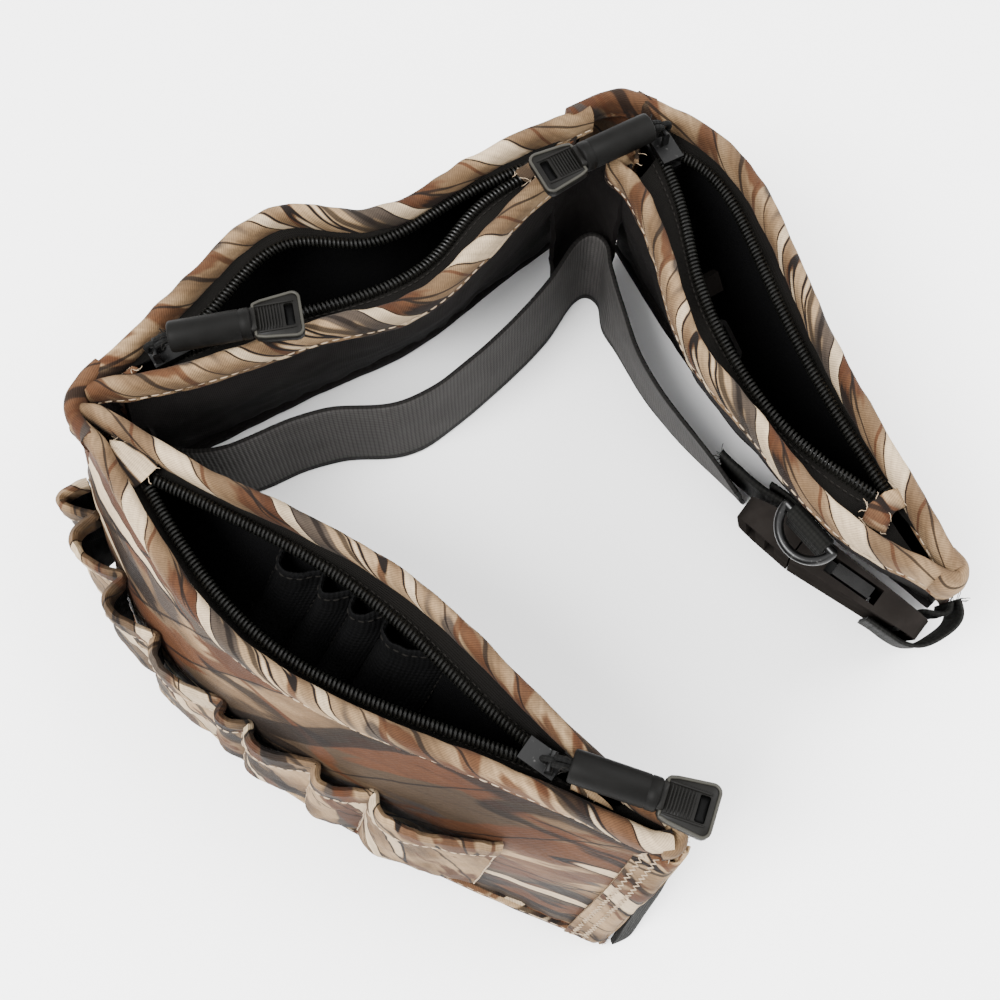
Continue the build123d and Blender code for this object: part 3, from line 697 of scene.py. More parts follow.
def gathered(grid, depth, pitch, seed):
    """Short upright puckers along the foot and the head of a grid."""
    along, up = np.gradient(grid, axis=1), np.gradient(grid, axis=0)
    out = unit(np.cross(along, up))
    far = lengths(grid.mean(axis=0))
    rows = np.arange(len(grid))
    fade = np.exp(-rows / 2.5) + np.exp(-(rows[-1] - rows) / 2.5)
    wave = np.sin(far * 2 * math.pi / pitch + 3 * crumple(grid[0], 40, seed))
    return grid + out * (fade[:, None] * wave[None] * depth)[..., None]


def make_panels(pocket, body):
    n = pocket["number"]
    for side in ("outer", "inner"):
        grid = panel_grid(pocket, side)
        grid = gathered(creased(grid, 0.8 if side == "outer" else 1.0, 34, n * 3.1), 0.35, 11, n)
        cloth = Cloth()
        right = 0 if side == "outer" else 1
        # The pocket side of each panel takes the lining, whose extra darkness is painted shade.
        cloth.shell(grid, PANEL, right, 1 if side == "outer" else 2)
        piece = cloth.piece(f"{side}_panel_{n}_cloth", PANEL_CAMO, LINING_AND_SHADE, NEOPRENE)
        finish_piece(piece, body, "camo_cloth" if side == "outer" else "neoprene", f"{side}_panel_{n}")


def finish_piece(piece, body, slot, *nodes):
    """Hides the CAD parts that a piece stands for, and rides it on its body unless it blends. Its slot argument is
    not used.
    """
    if nodes:
        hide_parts(*nodes)
    if body:
        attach(piece, body)
    return piece


def make_bindings(pocket, body):
    n = pocket["number"]
    for side, inward in (("outer", 1), ("inner", -1)):
        rim = shifted(spline(pocket[side], RIM_STEPS), inward * BINDING / 2)
        before, after = LEAD_INS.get((n, side), ([], []))
        far = lengths(rim)
        level = np.full(len(rim), PANEL_TOP) - 1.2 * np.exp(-far / 9) - 1.2 * np.exp((far - far[-1]) / 9)
        run = np.vstack([np.reshape(before, (-1, 3)), lifted(rim, level)[3:-3], np.reshape(after, (-1, 3))])
        run = soften(even(run, 130), 2)
        cloth = Cloth()
        bind(cloth, run, n + (5 if side == "inner" else 0))
        piece = cloth.piece(f"{side}_binding_{n}_cloth", BINDING_CAMO, PALE_THREAD)
        finish_piece(piece, body, "camo_binding", f"{side}_binding_{n}")
    cloth = Cloth()
    section = np.array(BINDING_SECTION) * (1.22 * BOTTOM_BINDING / BINDING, 0.82)
    section[:, 1] = section[:, 1].max() - section[:, 1]
    bottom = lifted(spline(pocket["bottom"], RIM_STEPS), 0.15)
    cloth.sweep(bottom, section, wobble=0.04, seed=n, left=2)
    for side, thread in ((-1, 1), (1, 3)):
        cloth.stitches(lifted(shifted(bottom[:, :2], side * 4.35), section[:, 1].max() - 1.7), thread)
    piece = cloth.piece(f"bottom_binding_{n}_cloth", BINDING_CAMO, PALE_THREAD, NEOPRENE, DARK_THREAD)
    finish_piece(piece, body, "camo_binding", f"bottom_binding_{n}")


# Where a rim's binding runs on past its end to meet the next pocket's, as (before its start, after its end)
LEAD_INS = {
    (1, "inner"): ([(-143.0, 31.5, 84.5), (-137.5, 30.4, 85.8)], [(51.8, -104.6, 86.4)]),
    (2, "inner"): ([], [(-136.0, 39.2, 86.2), (-140.5, 38.6, 85.0)]),
    (2, "outer"): ([(33.0, 149.0, 86.6)], [(-141.5, 41.0, 86.0)]),
    (1, "outer"): ([(-142.6, 25.5, 86.0)], [(52.2, -111.4, 86.4)]),
    (3, "outer"): ([(147.8, -26.2, 86.6)], [(50.0, 155.0, 86.6)]),
    (3, "inner"): ([(147.2, -29.4, 86.6), (144.4, -29.9, 86.6)],
                   [(40.6, 127.5, 85.4), (43.4, 132.6, 84.8), (48.2, 134.6, 84.2)]),
}


def coil_points(pocket, side):
    half = COIL_HALF_GAP if side == "inner" else -COIL_HALF_GAP
    first, last = np.array(pocket["outer"][0], float), np.array(pocket["outer"][-1], float)
    ahead = unit(last - first)
    across = np.array((-ahead[1], ahead[0])) * half * 0.75
    return [np.array(pocket["closed"]) + across, *pocket["coils"][side], np.array(pocket["slider"]) + across]


def make_zip(pocket, body):
    n = pocket["number"]
    for side in ("outer", "inner"):
        inward = 1 if side == "outer" else -1
        chain = even(spline(coil_points(pocket, side), 30), 160)
        rim = even(shifted(spline(pocket[side]), inward * (BINDING - 1.6)), 160, 0.02, 0.985)
        cloth = Cloth()
        rows = []
        for share in np.linspace(0, 1, 7):
            sag = -TAPE_SAG * math.sin(math.pi * share)
            rows.append(lifted(rim + (chain - rim) * share, TAPE_Z + 0.6 + sag))
        grid = np.array(rows if side == "outer" else rows[::-1])
        cloth.shell(grid + np.array((0, 0, 1.0)) * crumple(grid, 15, n)[..., None] * 0.35, 0.9, 0, 0)
        helix(cloth, lifted(chain, TAPE_Z + 0.9), 1.75, 1.45, COIL_PITCH, COIL_WIRE, 1)
        edge = rim + (chain - rim) * TAPE_SEAM
        cloth.stitches(lifted(edge, TAPE_Z + 1.0 - TAPE_SAG * math.sin(math.pi * TAPE_SEAM) + 0.25), 2, pitch=2.6)
        piece = cloth.piece(f"zip_{side}_{n}_coil_and_tape", ZIP_TAPE, COIL_PLASTIC, DARK_THREAD)
        finish_piece(piece, body, "zip_tape", f"zip_{side}_{n}")


def helix(cloth, line, across, up, pitch, wire, paint, per_turn=10, sides=5):
    """Wound wire along a line, flattened a little: the teeth of a coil zip."""
    far = lengths(line)
    turns = int(far[-1] / pitch)
    count = turns * per_turn + 1
    centre = even(line, count)
    side = np.column_stack((left_of(centre), np.zeros(count)))
    angle = np.arange(count) * 2 * math.pi / per_turn
    radial = np.cos(angle)[:, None] * side + np.sin(angle)[:, None] * np.array((0.0, 0.0, 1.0))
    path = centre + across * np.cos(angle)[:, None] * side
    path[:, 2] += up * np.sin(angle)
    ahead = unit(np.gradient(path, axis=0))
    other = np.cross(ahead, radial)
    ring = np.arange(sides) * 2 * math.pi / sides
    points = [path[i] + wire * (math.cos(a) * radial[i] + math.sin(a) * other[i])
              for i in range(count) for a in ring]
    cloth.loops(points, count, sides, paint)


def pad(cloth, outline, z, thickness, paint, seed):
    """Small cloth patch over an outline, cockled, with its edge turned down."""
    corners = np.array(outline + outline[:1], float)
    edge = even(corners, 29)[:-1]
    heart = edge.mean(axis=0)
    rings = []
    for share, level in ((0.2, 0.0), (0.97, 0.0), (1.0, 0.45), (0.95, 1.0), (0.75, 1.15), (0.45, 1.1),
                         (0.15, 1.2)):
        ring = lifted(heart + (edge - heart) * share, z + thickness * level)
        ring[:, 2] += crumple(ring, 5, seed) * 0.7 + crumple(ring, 2.2, seed) * 0.2
        rings.append(ring)
    points, count = np.array(rings).reshape(-1, 3), len(edge)
    faces = [(i * count + k, i * count + (k + 1) % count,
              (i + 1) * count + (k + 1) % count, (i + 1) * count + k)
             for i in range(len(rings) - 1) for k in range(count)]
    faces += [list(range(count)), list(range(len(points) - count, len(points)))]
    corners = [[tuple(points[i][:2] * MM) for i in face] for face in faces]
    cloth.add(points, faces, corners, [paint] * len(faces))


def fray(cloth, line, paint, reach, spread, count):
    """Loose yarn ends standing out of a cut edge."""
    for _ in range(count):
        root = even(line, 2, share := chance.uniform(0.02, 0.98), share)[0]
        angle, rise = chance.uniform(*spread), chance.uniform(-0.4, 0.5)
        turn = math.radians(angle)
        step = np.array((math.cos(turn), math.sin(turn), rise)) * chance.uniform(*reach)
        bend = np.array([chance.uniform(-0.6, 0.6) for _ in range(3)])
        path = [root - step * 0.15, root + step * 0.3 + bend * 0.4, root + step * 0.65 + bend, root + step]
        cloth.thread(spline(path, 3), YARN, paint, sides=4)


# Zip tape that closes the corner past a zip's end
END_GUSSETS = {
    "left": [(33, -108), (47, -113), (52.5, -109.5), (51.5, -103), (45, -99), (33, -101)],
}


def make_patches(pocket, body, spreads):
    n = pocket["number"]
    cloth = Cloth()
    for i, (outline, spread) in enumerate(zip(pocket["patches"], spreads)):
        pad(cloth, outline, PATCH_Z, 1.1, 0, n + i)
        rim = lifted(np.array(outline + outline[:1], float), PATCH_Z + 1)
        fray(cloth, rim, 1, (1.2, 3.6), spread, 14 if i == 0 else 6)
    if body in END_GUSSETS:
        pad(cloth, END_GUSSETS[body], TAPE_Z - 1.5, 1.0, 2, n)
    piece = cloth.piece(f"zip_end_patches_{n}_cloth", BINDING_CAMO, PALE_THREAD, ZIP_TAPE)
    finish_piece(piece, body, "camo_binding", f"zip_end_patches_{n}")


def turned_frame(place, angle):
    c, s = math.cos(math.radians(angle)), math.sin(math.radians(angle))

    def to_layout(points):
        points = np.asarray(points, float)
        x = place[0] + points[:, 0] * c - points[:, 1] * s
        y = place[1] + points[:, 0] * s + points[:, 1] * c
        return np.column_stack((x, y, place[2] + points[:, 2]))
    return to_layout


def pull_place(pocket):
    travel = unit(np.array(pocket["closed"], float) - np.array(pocket["slider"], float))
    bail = np.array(pocket["slider"]) - travel * BAIL_BACK
    return turned_frame((*bail, BAIL_Z), pocket["pull_angle"])


def lathe(cloth, place, profile, paint, sides=40):
    """Turned shape along the frame's X axis at the pull's height, closed at both ends."""
    points = []
    for x, radius in profile:
        for k in range(sides):
            a = 2 * math.pi * k / sides
            points.append((x, radius * math.cos(a), PULL_RISE + radius * math.sin(a)))
    cloth.loops(place(points), len(profile), sides, paint)


def rounded(cloth, place, low, high, corner, paint, z):
    """Block with rounded upright corners and softened top and bottom edges, as stacked rings in a frame."""
    (x0, y0), (x1, y1) = low, high
    bottom, top = z
    outline = []
    for cx, cy, start in ((x1 - corner, y1 - corner, 0), (x0 + corner, y1 - corner, 90),
                          (x0 + corner, y0 + corner, 180), (x1 - corner, y0 + corner, 270)):
        for k in range(6):
            a = math.radians(start + 18 * k)
            outline.append((cx + corner * math.cos(a), cy + corner * math.sin(a)))
    outline = np.array(outline)
    heart = np.array(((x0 + x1) / 2, (y0 + y1) / 2))
    soft = min(0.5, (top - bottom) / 3)
    inset = 1 - 2 * soft / max(x1 - x0, y1 - y0)
    levels = ((0.1, bottom), (inset, bottom), (1.0, bottom + soft), (1.0, top - soft), (inset, top),
              (0.1, top))
    rings = [lifted(heart + (outline - heart) * share, level) for share, level in levels]
    cloth.loops(place(np.array(rings).reshape(-1, 3)), len(rings), len(outline), paint)


def make_pull(pocket, body):
    n = pocket["number"]
    place = pull_place(pocket)
    cloth = Cloth()
    ring = [(2.9 * math.cos(a), 0.0, 2.9 * math.sin(a)) for a in np.linspace(0.15, 2 * math.pi - 0.15, 26)]
    cloth.thread(place(ring), 1.0, 0, sides=10)
    for side in (-1.1, 1.1):
        strand = [(0.6, side, 2.6), (2.6, side, 4.2), (5.4, side * 0.9, PULL_RISE),
                  (8.6, side * 0.9, PULL_RISE)]
        cloth.thread(place(spline(strand, 6)), 1.05, 0, sides=10)
    for _ in range(9):
        a = chance.uniform(0, 2 * math.pi)
        tuft = [(TUBE_START - 0.3, 2.2 * math.cos(a), PULL_RISE + 2.2 * math.sin(a)),
                (TUBE_START - 2.2, 3.1 * math.cos(a), PULL_RISE + 3.1 * math.sin(a)),
                (TUBE_START - 2.9, 4.0 * math.cos(a + 0.3), PULL_RISE + 3.4 * math.sin(a + 0.3))]
        cloth.thread(place(spline(tuft, 4)), YARN, 1, sides=4)
    finish_piece(cloth.piece(f"pull_cord_{n}_loop", BLACK_CORD, DARK_THREAD), body, "cord", f"pull_cord_{n}")

    cloth = Cloth()
    start, end, r = TUBE_START, TUBE_START + TUBE_LENGTH, TUBE_RADIUS
    profile = [(start + 5, 0.3), (start + 5, 3.2), (start + 1.2, 3.5), (start + 0.15, 4.2), (start, 4.7),
               (start + 0.25, 5.15), (start + 0.9, 5.35), (start + 3, r), (end - 4.2, r), (end - 4, r - 0.22),
               (end - 3.7, r - 0.22), (end - 3.5, r), (end - 1.0, r), (end - 0.3, 5.1), (end, 4.6), (end, 0.3)]
    lathe(cloth, place, profile, 0)
    finish_piece(cloth.piece(f"pull_tube_{n}_sleeve", GRIP_RUBBER), body, "grip_tube", f"pull_tube_{n}")
    make_plate(n, place, body)


def make_plate(n, place, body):
    """Flared end plate: a socket at the tube, a raised frame in a lighter plastic (partly wear, partly painted
    highlight), a ribbed patch and a slot.
    """
    x = TUBE_START + TUBE_LENGTH + 0.1
    cloth = Cloth()
    root, end, half = 6.4, 8.7, 1.7
    outline = [(x, -root), (x + 3, -root - 0.9)]
    for cy, start in ((-end + 2.6, -90), (end - 2.6, 0)):
        for k in range(7):
            a = math.radians(start + 15 * k)
            outline.append((x + PLATE_LENGTH - 2.6 + 2.6 * math.cos(a), cy + 2.6 * math.sin(a)))
    outline += [(x + 3, root + 0.9), (x, root)]
    outline = np.array(outline)
    slot = np.array([(x + 11.2, -4.2), (x + 14.4, -4.2), (x + 14.4, 4.2), (x + 11.2, 4.2)])
    holed_plate(cloth, place, outline, slot, PULL_RISE - half, PULL_RISE + half, 0)
    heart = outline.mean(axis=0)
    rim = heart + (outline - heart) * 0.93
    smooth_path = even(np.vstack((rim, rim[:1])), 90)
    # Raised rim thread in the lighter plastic: partly wear, partly painted highlight along the plate's top edge.
    cloth.thread(place(lifted(smooth_path, PULL_RISE + half - 0.1)), 0.55, 1, sides=8)
    rounded(cloth, place, (x + 10.9, -4.5), (x + 14.7, 4.5), 0.3, 2,
            (PULL_RISE - half + 0.2, PULL_RISE + 0.5))
    for i in range(8):
        rib = [(x + 2.6 + 1.02 * i, y, PULL_RISE + half + 0.28) for y in np.linspace(-4.4, 4.4, 7)]
        cloth.thread(place(rib), 0.36, 0, sides=8)
    for y in (-4.9, 4.9):
        rail = [(x + step, y, PULL_RISE + half + 0.15) for step in np.linspace(1.4, 14.8, 9)]
        cloth.thread(place(rail), 0.42, 0, sides=8)
    rounded(cloth, place, (x - 0.9, -4.4), (x + 1.6, 4.4), 0.8, 0, (PULL_RISE - 3.1, PULL_RISE + 3.1))
    finish_piece(cloth.piece(f"pull_plate_{n}_moulding", PLATE_PLASTIC, PLATE_RIM_WEAR_AND_HIGHLIGHT, PLATE_SLOT), body,
                 "grip_plate", f"pull_plate_{n}")


def holed_plate(cloth, place, outline, hole, low, high, paint):
    """Flat plate with one hole: two faces bridged between the outlines, and both walls."""
    count = 48
    heart = hole.mean(axis=0)

    def by_angle(loop):
        closed = even(np.vstack((loop, loop[:1])), 400)
        angles = np.arctan2(*(closed - heart).T[::-1])
        order = np.argsort(angles)
        wanted = np.linspace(-math.pi, math.pi, count, endpoint=False)
        return np.stack([np.interp(wanted, angles[order], closed[order, k], period=2 * math.pi)
                         for k in (0, 1)], 1)

    outer, inner = by_angle(outline), by_angle(hole)
    soft = 0.45
    small = outer + unit(heart - outer) * soft
    rings = [lifted(inner, high), lifted(small, high), lifted(outer, high - soft), lifted(outer, low + soft),
             lifted(small, low), lifted(inner, low)]
    points = place(np.array(rings).reshape(-1, 3))
    faces, corners = [], []
    for i in range(len(rings)):
        for k in range(count):
            j, m = (i + 1) % len(rings), (k + 1) % count
            faces.append((i * count + k, i * count + m, j * count + m, j * count + k))
            corners.append([(k * MM, i * MM)] * 4)
    cloth.add(points, faces, corners, [paint] * len(faces))


def smooth_loops(base, swells):
    """Row of loops between seams: each swells at its first end and tapers back."""
    line = []
    for a, b, swell in zip(base, base[1:], swells):
        ahead = unit(b - a)
        side = np.array((-ahead[1], ahead[0])) * swell
        for share, lift in LOOP_PROFILE:
            line.append(a + (b - a) * share + side * lift)
    return np.array(line + [base[-1]])


def loop_lines(pocket, row, z, swell=1.0):
    panel = spline(panel_line(pocket, row["side"], z))
    skin = shifted(panel, -(PANEL / 2 + LOOP_STAND_OFF))
    far = lengths(skin)
    base = np.column_stack([np.interp(np.array(row["seams"]) * far[-1], far, skin[:, i]) for i in (0, 1)])
    return smooth_loops(base, -np.array(row["swells"]) * swell)


def panel_line(pocket, side, z):
    out = -1 if side == "outer" else 1
    foot = control_shift(pocket["bottom"], out * SEAM_SPREAD)
    top = control_shift(pocket[side], -out * BINDING / 2)
    level = foot + (top - foot) * (WAIST - SEAM_HEIGHT) / (PANEL_TOP - SEAM_HEIGHT)
    waist = control_shift(level, [out * pocket["bellies"][side] * share for share in SWELL])
    if z < WAIST:
        return foot + (waist - foot) * (z - SEAM_HEIGHT) / (WAIST - SEAM_HEIGHT)
    return waist + (top - waist) * (z - WAIST) / (PANEL_TOP - WAIST)


def soften(line, times):
    """Line with its corners eased, its ends kept."""
    line = np.array(line)
    for _ in range(times):
        line[1:-1] = (line[:-2] + 2 * line[1:-1] + line[2:]) / 4
    return line


def make_loops(row, name, thickness, hem, materials, slot, node):
    pocket = POCKETS["left"]
    heights = np.linspace(row["low"], row["high"], 18)
    lines = []
    for z in heights:
        up = (z - row["low"]) / (row["high"] - row["low"])
        line = loop_lines(pocket, row, z, 0.72 + 0.3 * up)
        lines.append(lifted(soften(even_by_span(line, LOOP_STEPS), 4), z))
    grid = creased(np.array(lines), 0.7, 12, 3.3)
    cloth = Cloth()
    cloth.shell(grid, thickness, 0, 1)
    shares = np.linspace(1 - row["hem"] / (row["high"] - row["low"]), 1, 9)
    lip = np.array([even_rows(grid, share) for share in shares])
    lip[..., 2] += crumple(lip, 8, 2.2) * 0.5
    cloth.shell(lip, thickness + hem, 0, 0, edge=0.5)
    seam = lip[0]
    out = unit(np.cross(np.gradient(seam, axis=0), np.array((0, 0, 1.0))))
    cloth.stitches(seam + out * (thickness + hem) / 2 * 0.95 + np.array((0, 0, 0.9)), 2, pitch=3.2)
    for i in range(0, len(grid[0]), LOOP_STEPS * len(LOOP_PROFILE)):
        outward = np.array((*out[min(i, len(out) - 1), :2], 0))
        rise = grid[:, min(i, len(grid[0]) - 1)]
        right = unit(rise[0] - grid[0, min(i + 4, len(grid[0]) - 1)])
        for shift in (-0.5, 0.5):
            cloth.stitches(rise + outward * (thickness * 0.6) + right * shift, 2, pitch=2.4)
    piece = cloth.piece(name, *materials)
    return finish_piece(piece, "left", slot, node)


def even_by_span(line, count):
    """Points on straight spans between the given ones, the same number in every span."""
    result = []
    for a, b in zip(line, line[1:]):
        for s in np.arange(count) / count:
            result.append(a + (b - a) * s)
    return np.array(result + [line[-1]])


def even_rows(rows, share):
    """Row a share of the way up a few rows."""
    place = share * (len(rows) - 1)
    i = min(int(place), len(rows) - 2)
    return rows[i] + (rows[i + 1] - rows[i]) * (place - i)


def web_piece(name, lines, depth, seed, node, tails):
    """Soft fold between two pockets, sewn inside their panels' ends, with a binding carried over its top."""
    low, high = (spline(line, 12) for line in lines)
    heights = np.linspace(WEB_FOOT, RIM_TOP - 9, 34)
    grid = []
    for z in heights:
        share = (z - WEB_FOOT) / (RIM_TOP - WEB_FOOT)
        middle = low + (high - low) * share
        before, after = (even(spline(panel_line(POCKETS[key], "outer", min(z, PANEL_TOP - 1.0))), 3, *reach)
                         for key, reach in tails)
        line = np.vstack((before, middle[8:-8:4], after))
        grid.append(lifted(even(spline(line, 6), 50), z))
    grid = creased(np.array(grid), depth * WEB_CREASE, 13, seed)
    cloth = Cloth()
    cloth.shell(grid, 2.0, 0, 0)
    top = lifted(high, PANEL_TOP)
    first, last = top[0] - top[1], top[-1] - top[-2]
    longer = np.vstack((top[0] + unit(first) * 6, top[0] + unit(first) * 3, top,
                        top[-1] + unit(last) * 3, top[-1] + unit(last) * 6))
    bind(cloth, longer, seed, height=BINDING_HEIGHT * 0.96, width=BINDING * 0.93, stitch=False)
    piece = cloth.piece(name, FOLD_CAMO, PALE_THREAD)
    piece = finish_piece(piece, None, "camo_cloth", node)
    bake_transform(piece)


def inner_web(name, line, seed):
    """Foam cloth that carries the wearer's side on across a fold."""
    path = spline(line, 10)
    heights = np.linspace(4.0, PANEL_TOP - 0.5, 30)
    foot = path + (path.mean(axis=0) - path) * 0.12
    grid = [lifted(foot + (path - foot) * (z - heights[0]) / (heights[-1] - heights[0]), z) for z in heights]
    cloth = Cloth()
    cloth.shell(creased(np.array(grid), 0.8, 16, seed), 2.0, 0, 0)
    piece = finish_piece(cloth.piece(name, NEOPRENE), None, "neoprene")
    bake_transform(piece)


def end_strip(pocket, end, heights, beyond, depth=0.5, inset=0.0):
    """Cloth across a pocket's first (0) or last (-1) end, bowed out a little."""
    neighbour = 1 if end == 0 else -2
    rows = []
    for z in np.linspace(*heights, 22):
        outer, inner = panel_line(pocket, "outer", z), panel_line(pocket, "inner", z)
        away = unit(outer[end] - outer[neighbour])
        across = unit(inner[end] - outer[end]) * inset
        a, b = outer[end] + away * beyond + across, inner[end] + away * beyond - across
        row = [a + (b - a) * s + away * 1.0 * math.sin(math.pi * s) for s in np.linspace(0, 1, 13)]
        rows.append(lifted(np.array(row), z))
    cloth = Cloth()
    cloth.shell(creased(np.array(rows), depth, 11, 1.3), END_CLOTH, 0, 0)
    return cloth, np.array(rows)


def make_ends():
    left, centre, right = POCKETS["left"], POCKETS["centre"], POCKETS["right"]
    cloth, rows = end_strip(left, -1, (1, PANEL_TOP + 3), 4.0)
    band = []
    for z in np.linspace(SEAM_HEIGHT - 2, PANEL_TOP, 24):
        panel = spline(panel_line(left, "outer", z))
        face = even(shifted(panel, -(PANEL / 2 + 0.7)), 8, 0.962, 1.0)
        away = unit(panel[-1] - panel[-2])
        inward = np.array((-away[1], away[0]))
        turn = [face[-1] + away * 2.6 + inward * 0.6, face[-1] + away * 4.2 + inward * 3.0,
                face[-1] + away * 4.6 + inward * 7.0]
        band.append(lifted(spline(np.vstack((face, turn)), 4), z))
    band = creased(np.array(band), 0.35, 7, 5.5)
    cloth.shell(band, 1.2, 0, 0)
    out = unit(np.cross(np.gradient(band, axis=1), np.gradient(band, axis=0)))
    for first, second in ((6, 10), (18, 22)):
        path = band[:, first] + out[:, first] * 0.75
        across = band[:, second] + out[:, second] * 0.75
        path, across = even(path, 64), even(across, 64)
        path[1::2] = across[1::2]
        cloth.thread(path, 0.26, 1, sides=5)
    rim = spline([(49.0, -114.0), (53.2, -112.5), (54.0, -107.5), (51.5, -102.5), (47.0, -100.5)], 8)
    bind(cloth, lifted(rim, PANEL_TOP - 3.5), 6.1, stitch=False)
    fray(cloth, lifted(rim, PANEL_TOP + 4), 1, (2.0, 5.0), (-100, 60), 22)
    fray(cloth, rows[0], 1, (1.0, 2.5), (-110, 40), 8)
    finish_piece(cloth.piece("end_tape_cloth", BINDING_CAMO, PALE_THREAD), "left", "camo_cloth", "end_tape")

    cloth, _ = end_strip(right, 0, (10, RIM_TOP - 10), 2.8)
    tip = spline([(145.4, -20.5), (148.2, -24.5), (148.0, -28.6), (144.6, -30.6), (141.4, -28.4)], 8)
    bind(cloth, lifted(tip, PANEL_TOP - 0.8), 4.4, stitch=False)
    finish_piece(cloth.piece("tip_tab_cloth", BINDING_CAMO, PALE_THREAD), "right", "camo_cloth", "tip_tab")
    for n, pocket, end, body in ((2, centre, 0, "centre"), (3, right, -1, "right")):
        cloth, _ = end_strip(pocket, end, (12, PANEL_TOP + 1), 0, 0.9, 2.0)
        finish_piece(cloth.piece(f"end_gusset_{n}_cloth", FOLD_CAMO), body, "camo_cloth", f"end_gusset_{n}")
    for n, pocket, end, body in ((1, left, 0, "left"), (2, centre, -1, "centre")):
        cloth, _ = end_strip(pocket, end, (9, PANEL_TOP + 1), 0.4, 0.6, 1.0)
        finish_piece(cloth.piece(f"fold_seam_{n}_cloth", FOLD_CAMO), body, "camo_cloth")


def strap_grid(low, high, width, per_span, rows):
    """Strip of webbing between its lower and upper edge in plan."""
    low, high = spline(low, per_span), spline(high, per_span)
    return np.array([lifted(low + (high - low) * share, width * share) for share in np.linspace(0, 1, rows)])


def strap_piece(name, grid, thickness, material, nodes, slot, body=None):
    """Webbing with a darker selvedge down both edges."""
    cloth = Cloth()
    along, up = np.gradient(grid, axis=1), np.gradient(grid, axis=0)
    out = unit(np.cross(along, up)) * thickness / 2
    rows = len(grid)
    top = grid[-1:] + unit(up[-1:]) * thickness * 0.3
    foot = grid[:1] - unit(up[:1]) * thickness * 0.3
    side = [1] + [0] * (rows - 2) + [1]
    cloth.tube(np.concatenate((grid + out, top, (grid - out)[::-1], foot)), side + [1] + side[::-1] + [1])
    return finish_piece(cloth.piece(name, material, STRAP_EDGE), body, slot, *nodes)


def make_straps():
    """The waist strap is one length of webbing, built in pieces."""
    low = FRONT_RUN[0] + LEFT_BEND[0][:-1] + MIDDLE_RUN + APEX[1:-1] + REAR_RUN[0]
    high = FRONT_RUN[1] + LEFT_BEND[1][:-1] + MIDDLE_RUN + APEX[1:-1] + REAR_RUN[1]
    per_span = 12
    whole = strap_grid(low, high, STRAP_WIDTH, per_span, 15)
    whole = creased(whole, 0.55, 45, 1.0)
    whole[..., 2] += 0.6
    turn = len(FRONT_RUN[0]) + len(LEFT_BEND[0]) - 1
    tab, middle, rear = 5, turn + 3, turn + len(MIDDLE_RUN) + len(APEX) - 2 + 3
    pieces = (
        ("waist_strap_left", tab, middle, ("strap_left_bend",), ("left", "centre", (-124, 22), (-124, 35))),
        ("waist_strap_middle", middle, rear, ("strap_middle", "strap_apex"),
         ("centre", "right", (27, 118), (44, 118))),
        ("waist_strap_rear", rear, len(low) - 1, ("strap_rear",), ("right", "male", (66, 60), (92, 24))),
    )
    for name, start, end, nodes, (first, second, before, after) in pieces:
        grid = whole[:, start * per_span:end * per_span + 1]
        piece = strap_piece(name, grid, WEBBING, STRAP_WEB, nodes, "webbing")
        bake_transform(piece)
    strap_piece("strap_end_tab", whole[:, :tab * per_span + 1], 2.2, TAB_WEB, ("strap_front",),
                "webbing", "left")


def buckle_place(points):
    """From the buckle's own frame to the layout."""
    points = np.asarray(points, float)
    flat = points.reshape(-1, 3)
    turn = (Matrix.Rotation(math.radians(BUCKLE_HEADING), 3, "Z")
            @ Matrix.Rotation(math.radians(BUCKLE_LEAN), 3, "X"))
    placed = flat @ np.array(turn).T + np.array(BUCKLE_ORIGIN)
    return placed.reshape(points.shape)


def upright_grid(line, width, rows=11, per_span=10):
    """Strip that follows a line in a frame's XY plane, with its width centred on that plane."""
    path = spline(line, per_span)
    return np.array([lifted(path, z) for z in np.linspace(-width / 2, width / 2, rows)])


def make_buckle_webbing():
    cloth = Cloth()
    for line in (WEBBING_OUTER, WEBBING_INNER):
        cloth.shell(buckle_place(creased(upright_grid(line, WEBBING_WIDTH), 0.3, 16, 4.0)), WEBBING, 0, 0)
    end = buckle_place(upright_grid([WEBBING_OUTER[-2], WEBBING_OUTER[-1]], WEBBING_WIDTH, 11, 2))[:, -1]
    fray(cloth, end, 1, (2.0, 5.0), (-10, 120), 26)
    piece = cloth.piece("buckle_webbing_strip", TAB_WEB, DARK_THREAD)
    finish_piece(piece, "right", "webbing", "buckle_webbing")
    cloth = Cloth()
    for line, thickness in TAIL_LAYERS:
        cloth.shell(buckle_place(creased(upright_grid(line, TAIL_WIDTH), 0.35, 14, 6.0)), thickness, 0, 0)
    end = buckle_place(upright_grid(TAIL_LAYERS[0][0][:2], TAIL_WIDTH, 11, 2))[:, 0]
    fray(cloth, end, 1, (1.5, 4.0), (60, 220), 20)
    piece = cloth.piece("strap_tail_strip", TAB_WEB, DARK_THREAD)
    finish_piece(piece, "male", "webbing", "strap_tail")


def make_ring_tab():
    """Webbing round the D-ring's bar, its two ends together down the panel."""
    gap = RING_WIRE + 0.5 + TAB_THICKNESS / 2
    loop = [(0.6, -TAB_LENGTH), (0.7, -7.0), (1.3, -3.0)]
    loop += [(gap * math.sin(a), gap * math.cos(a)) for a in np.linspace(2.2, -math.pi / 2 - 0.6, 12)]
    loop += [(0.2, -3.6), (1.9, -7.0), (1.9, -TAB_LENGTH)]
    path = soften(even(spline(np.array(loop), 6), 60), 2)
    place = turned_frame(RING_BAR, RING_HEADING - 180)
    rows = [place(np.column_stack((np.full(len(path), x), path[:, 0], path[:, 1])))
            for x in np.linspace(-TAB_WIDTH / 2, TAB_WIDTH / 2, 7)]
    cloth = Cloth()
    cloth.shell(np.array(rows), TAB_THICKNESS, 0, 0)
    finish_piece(cloth.piece("d_ring_tab_strip", TAB_WEB), "right", "webbing", "d_ring_tab")


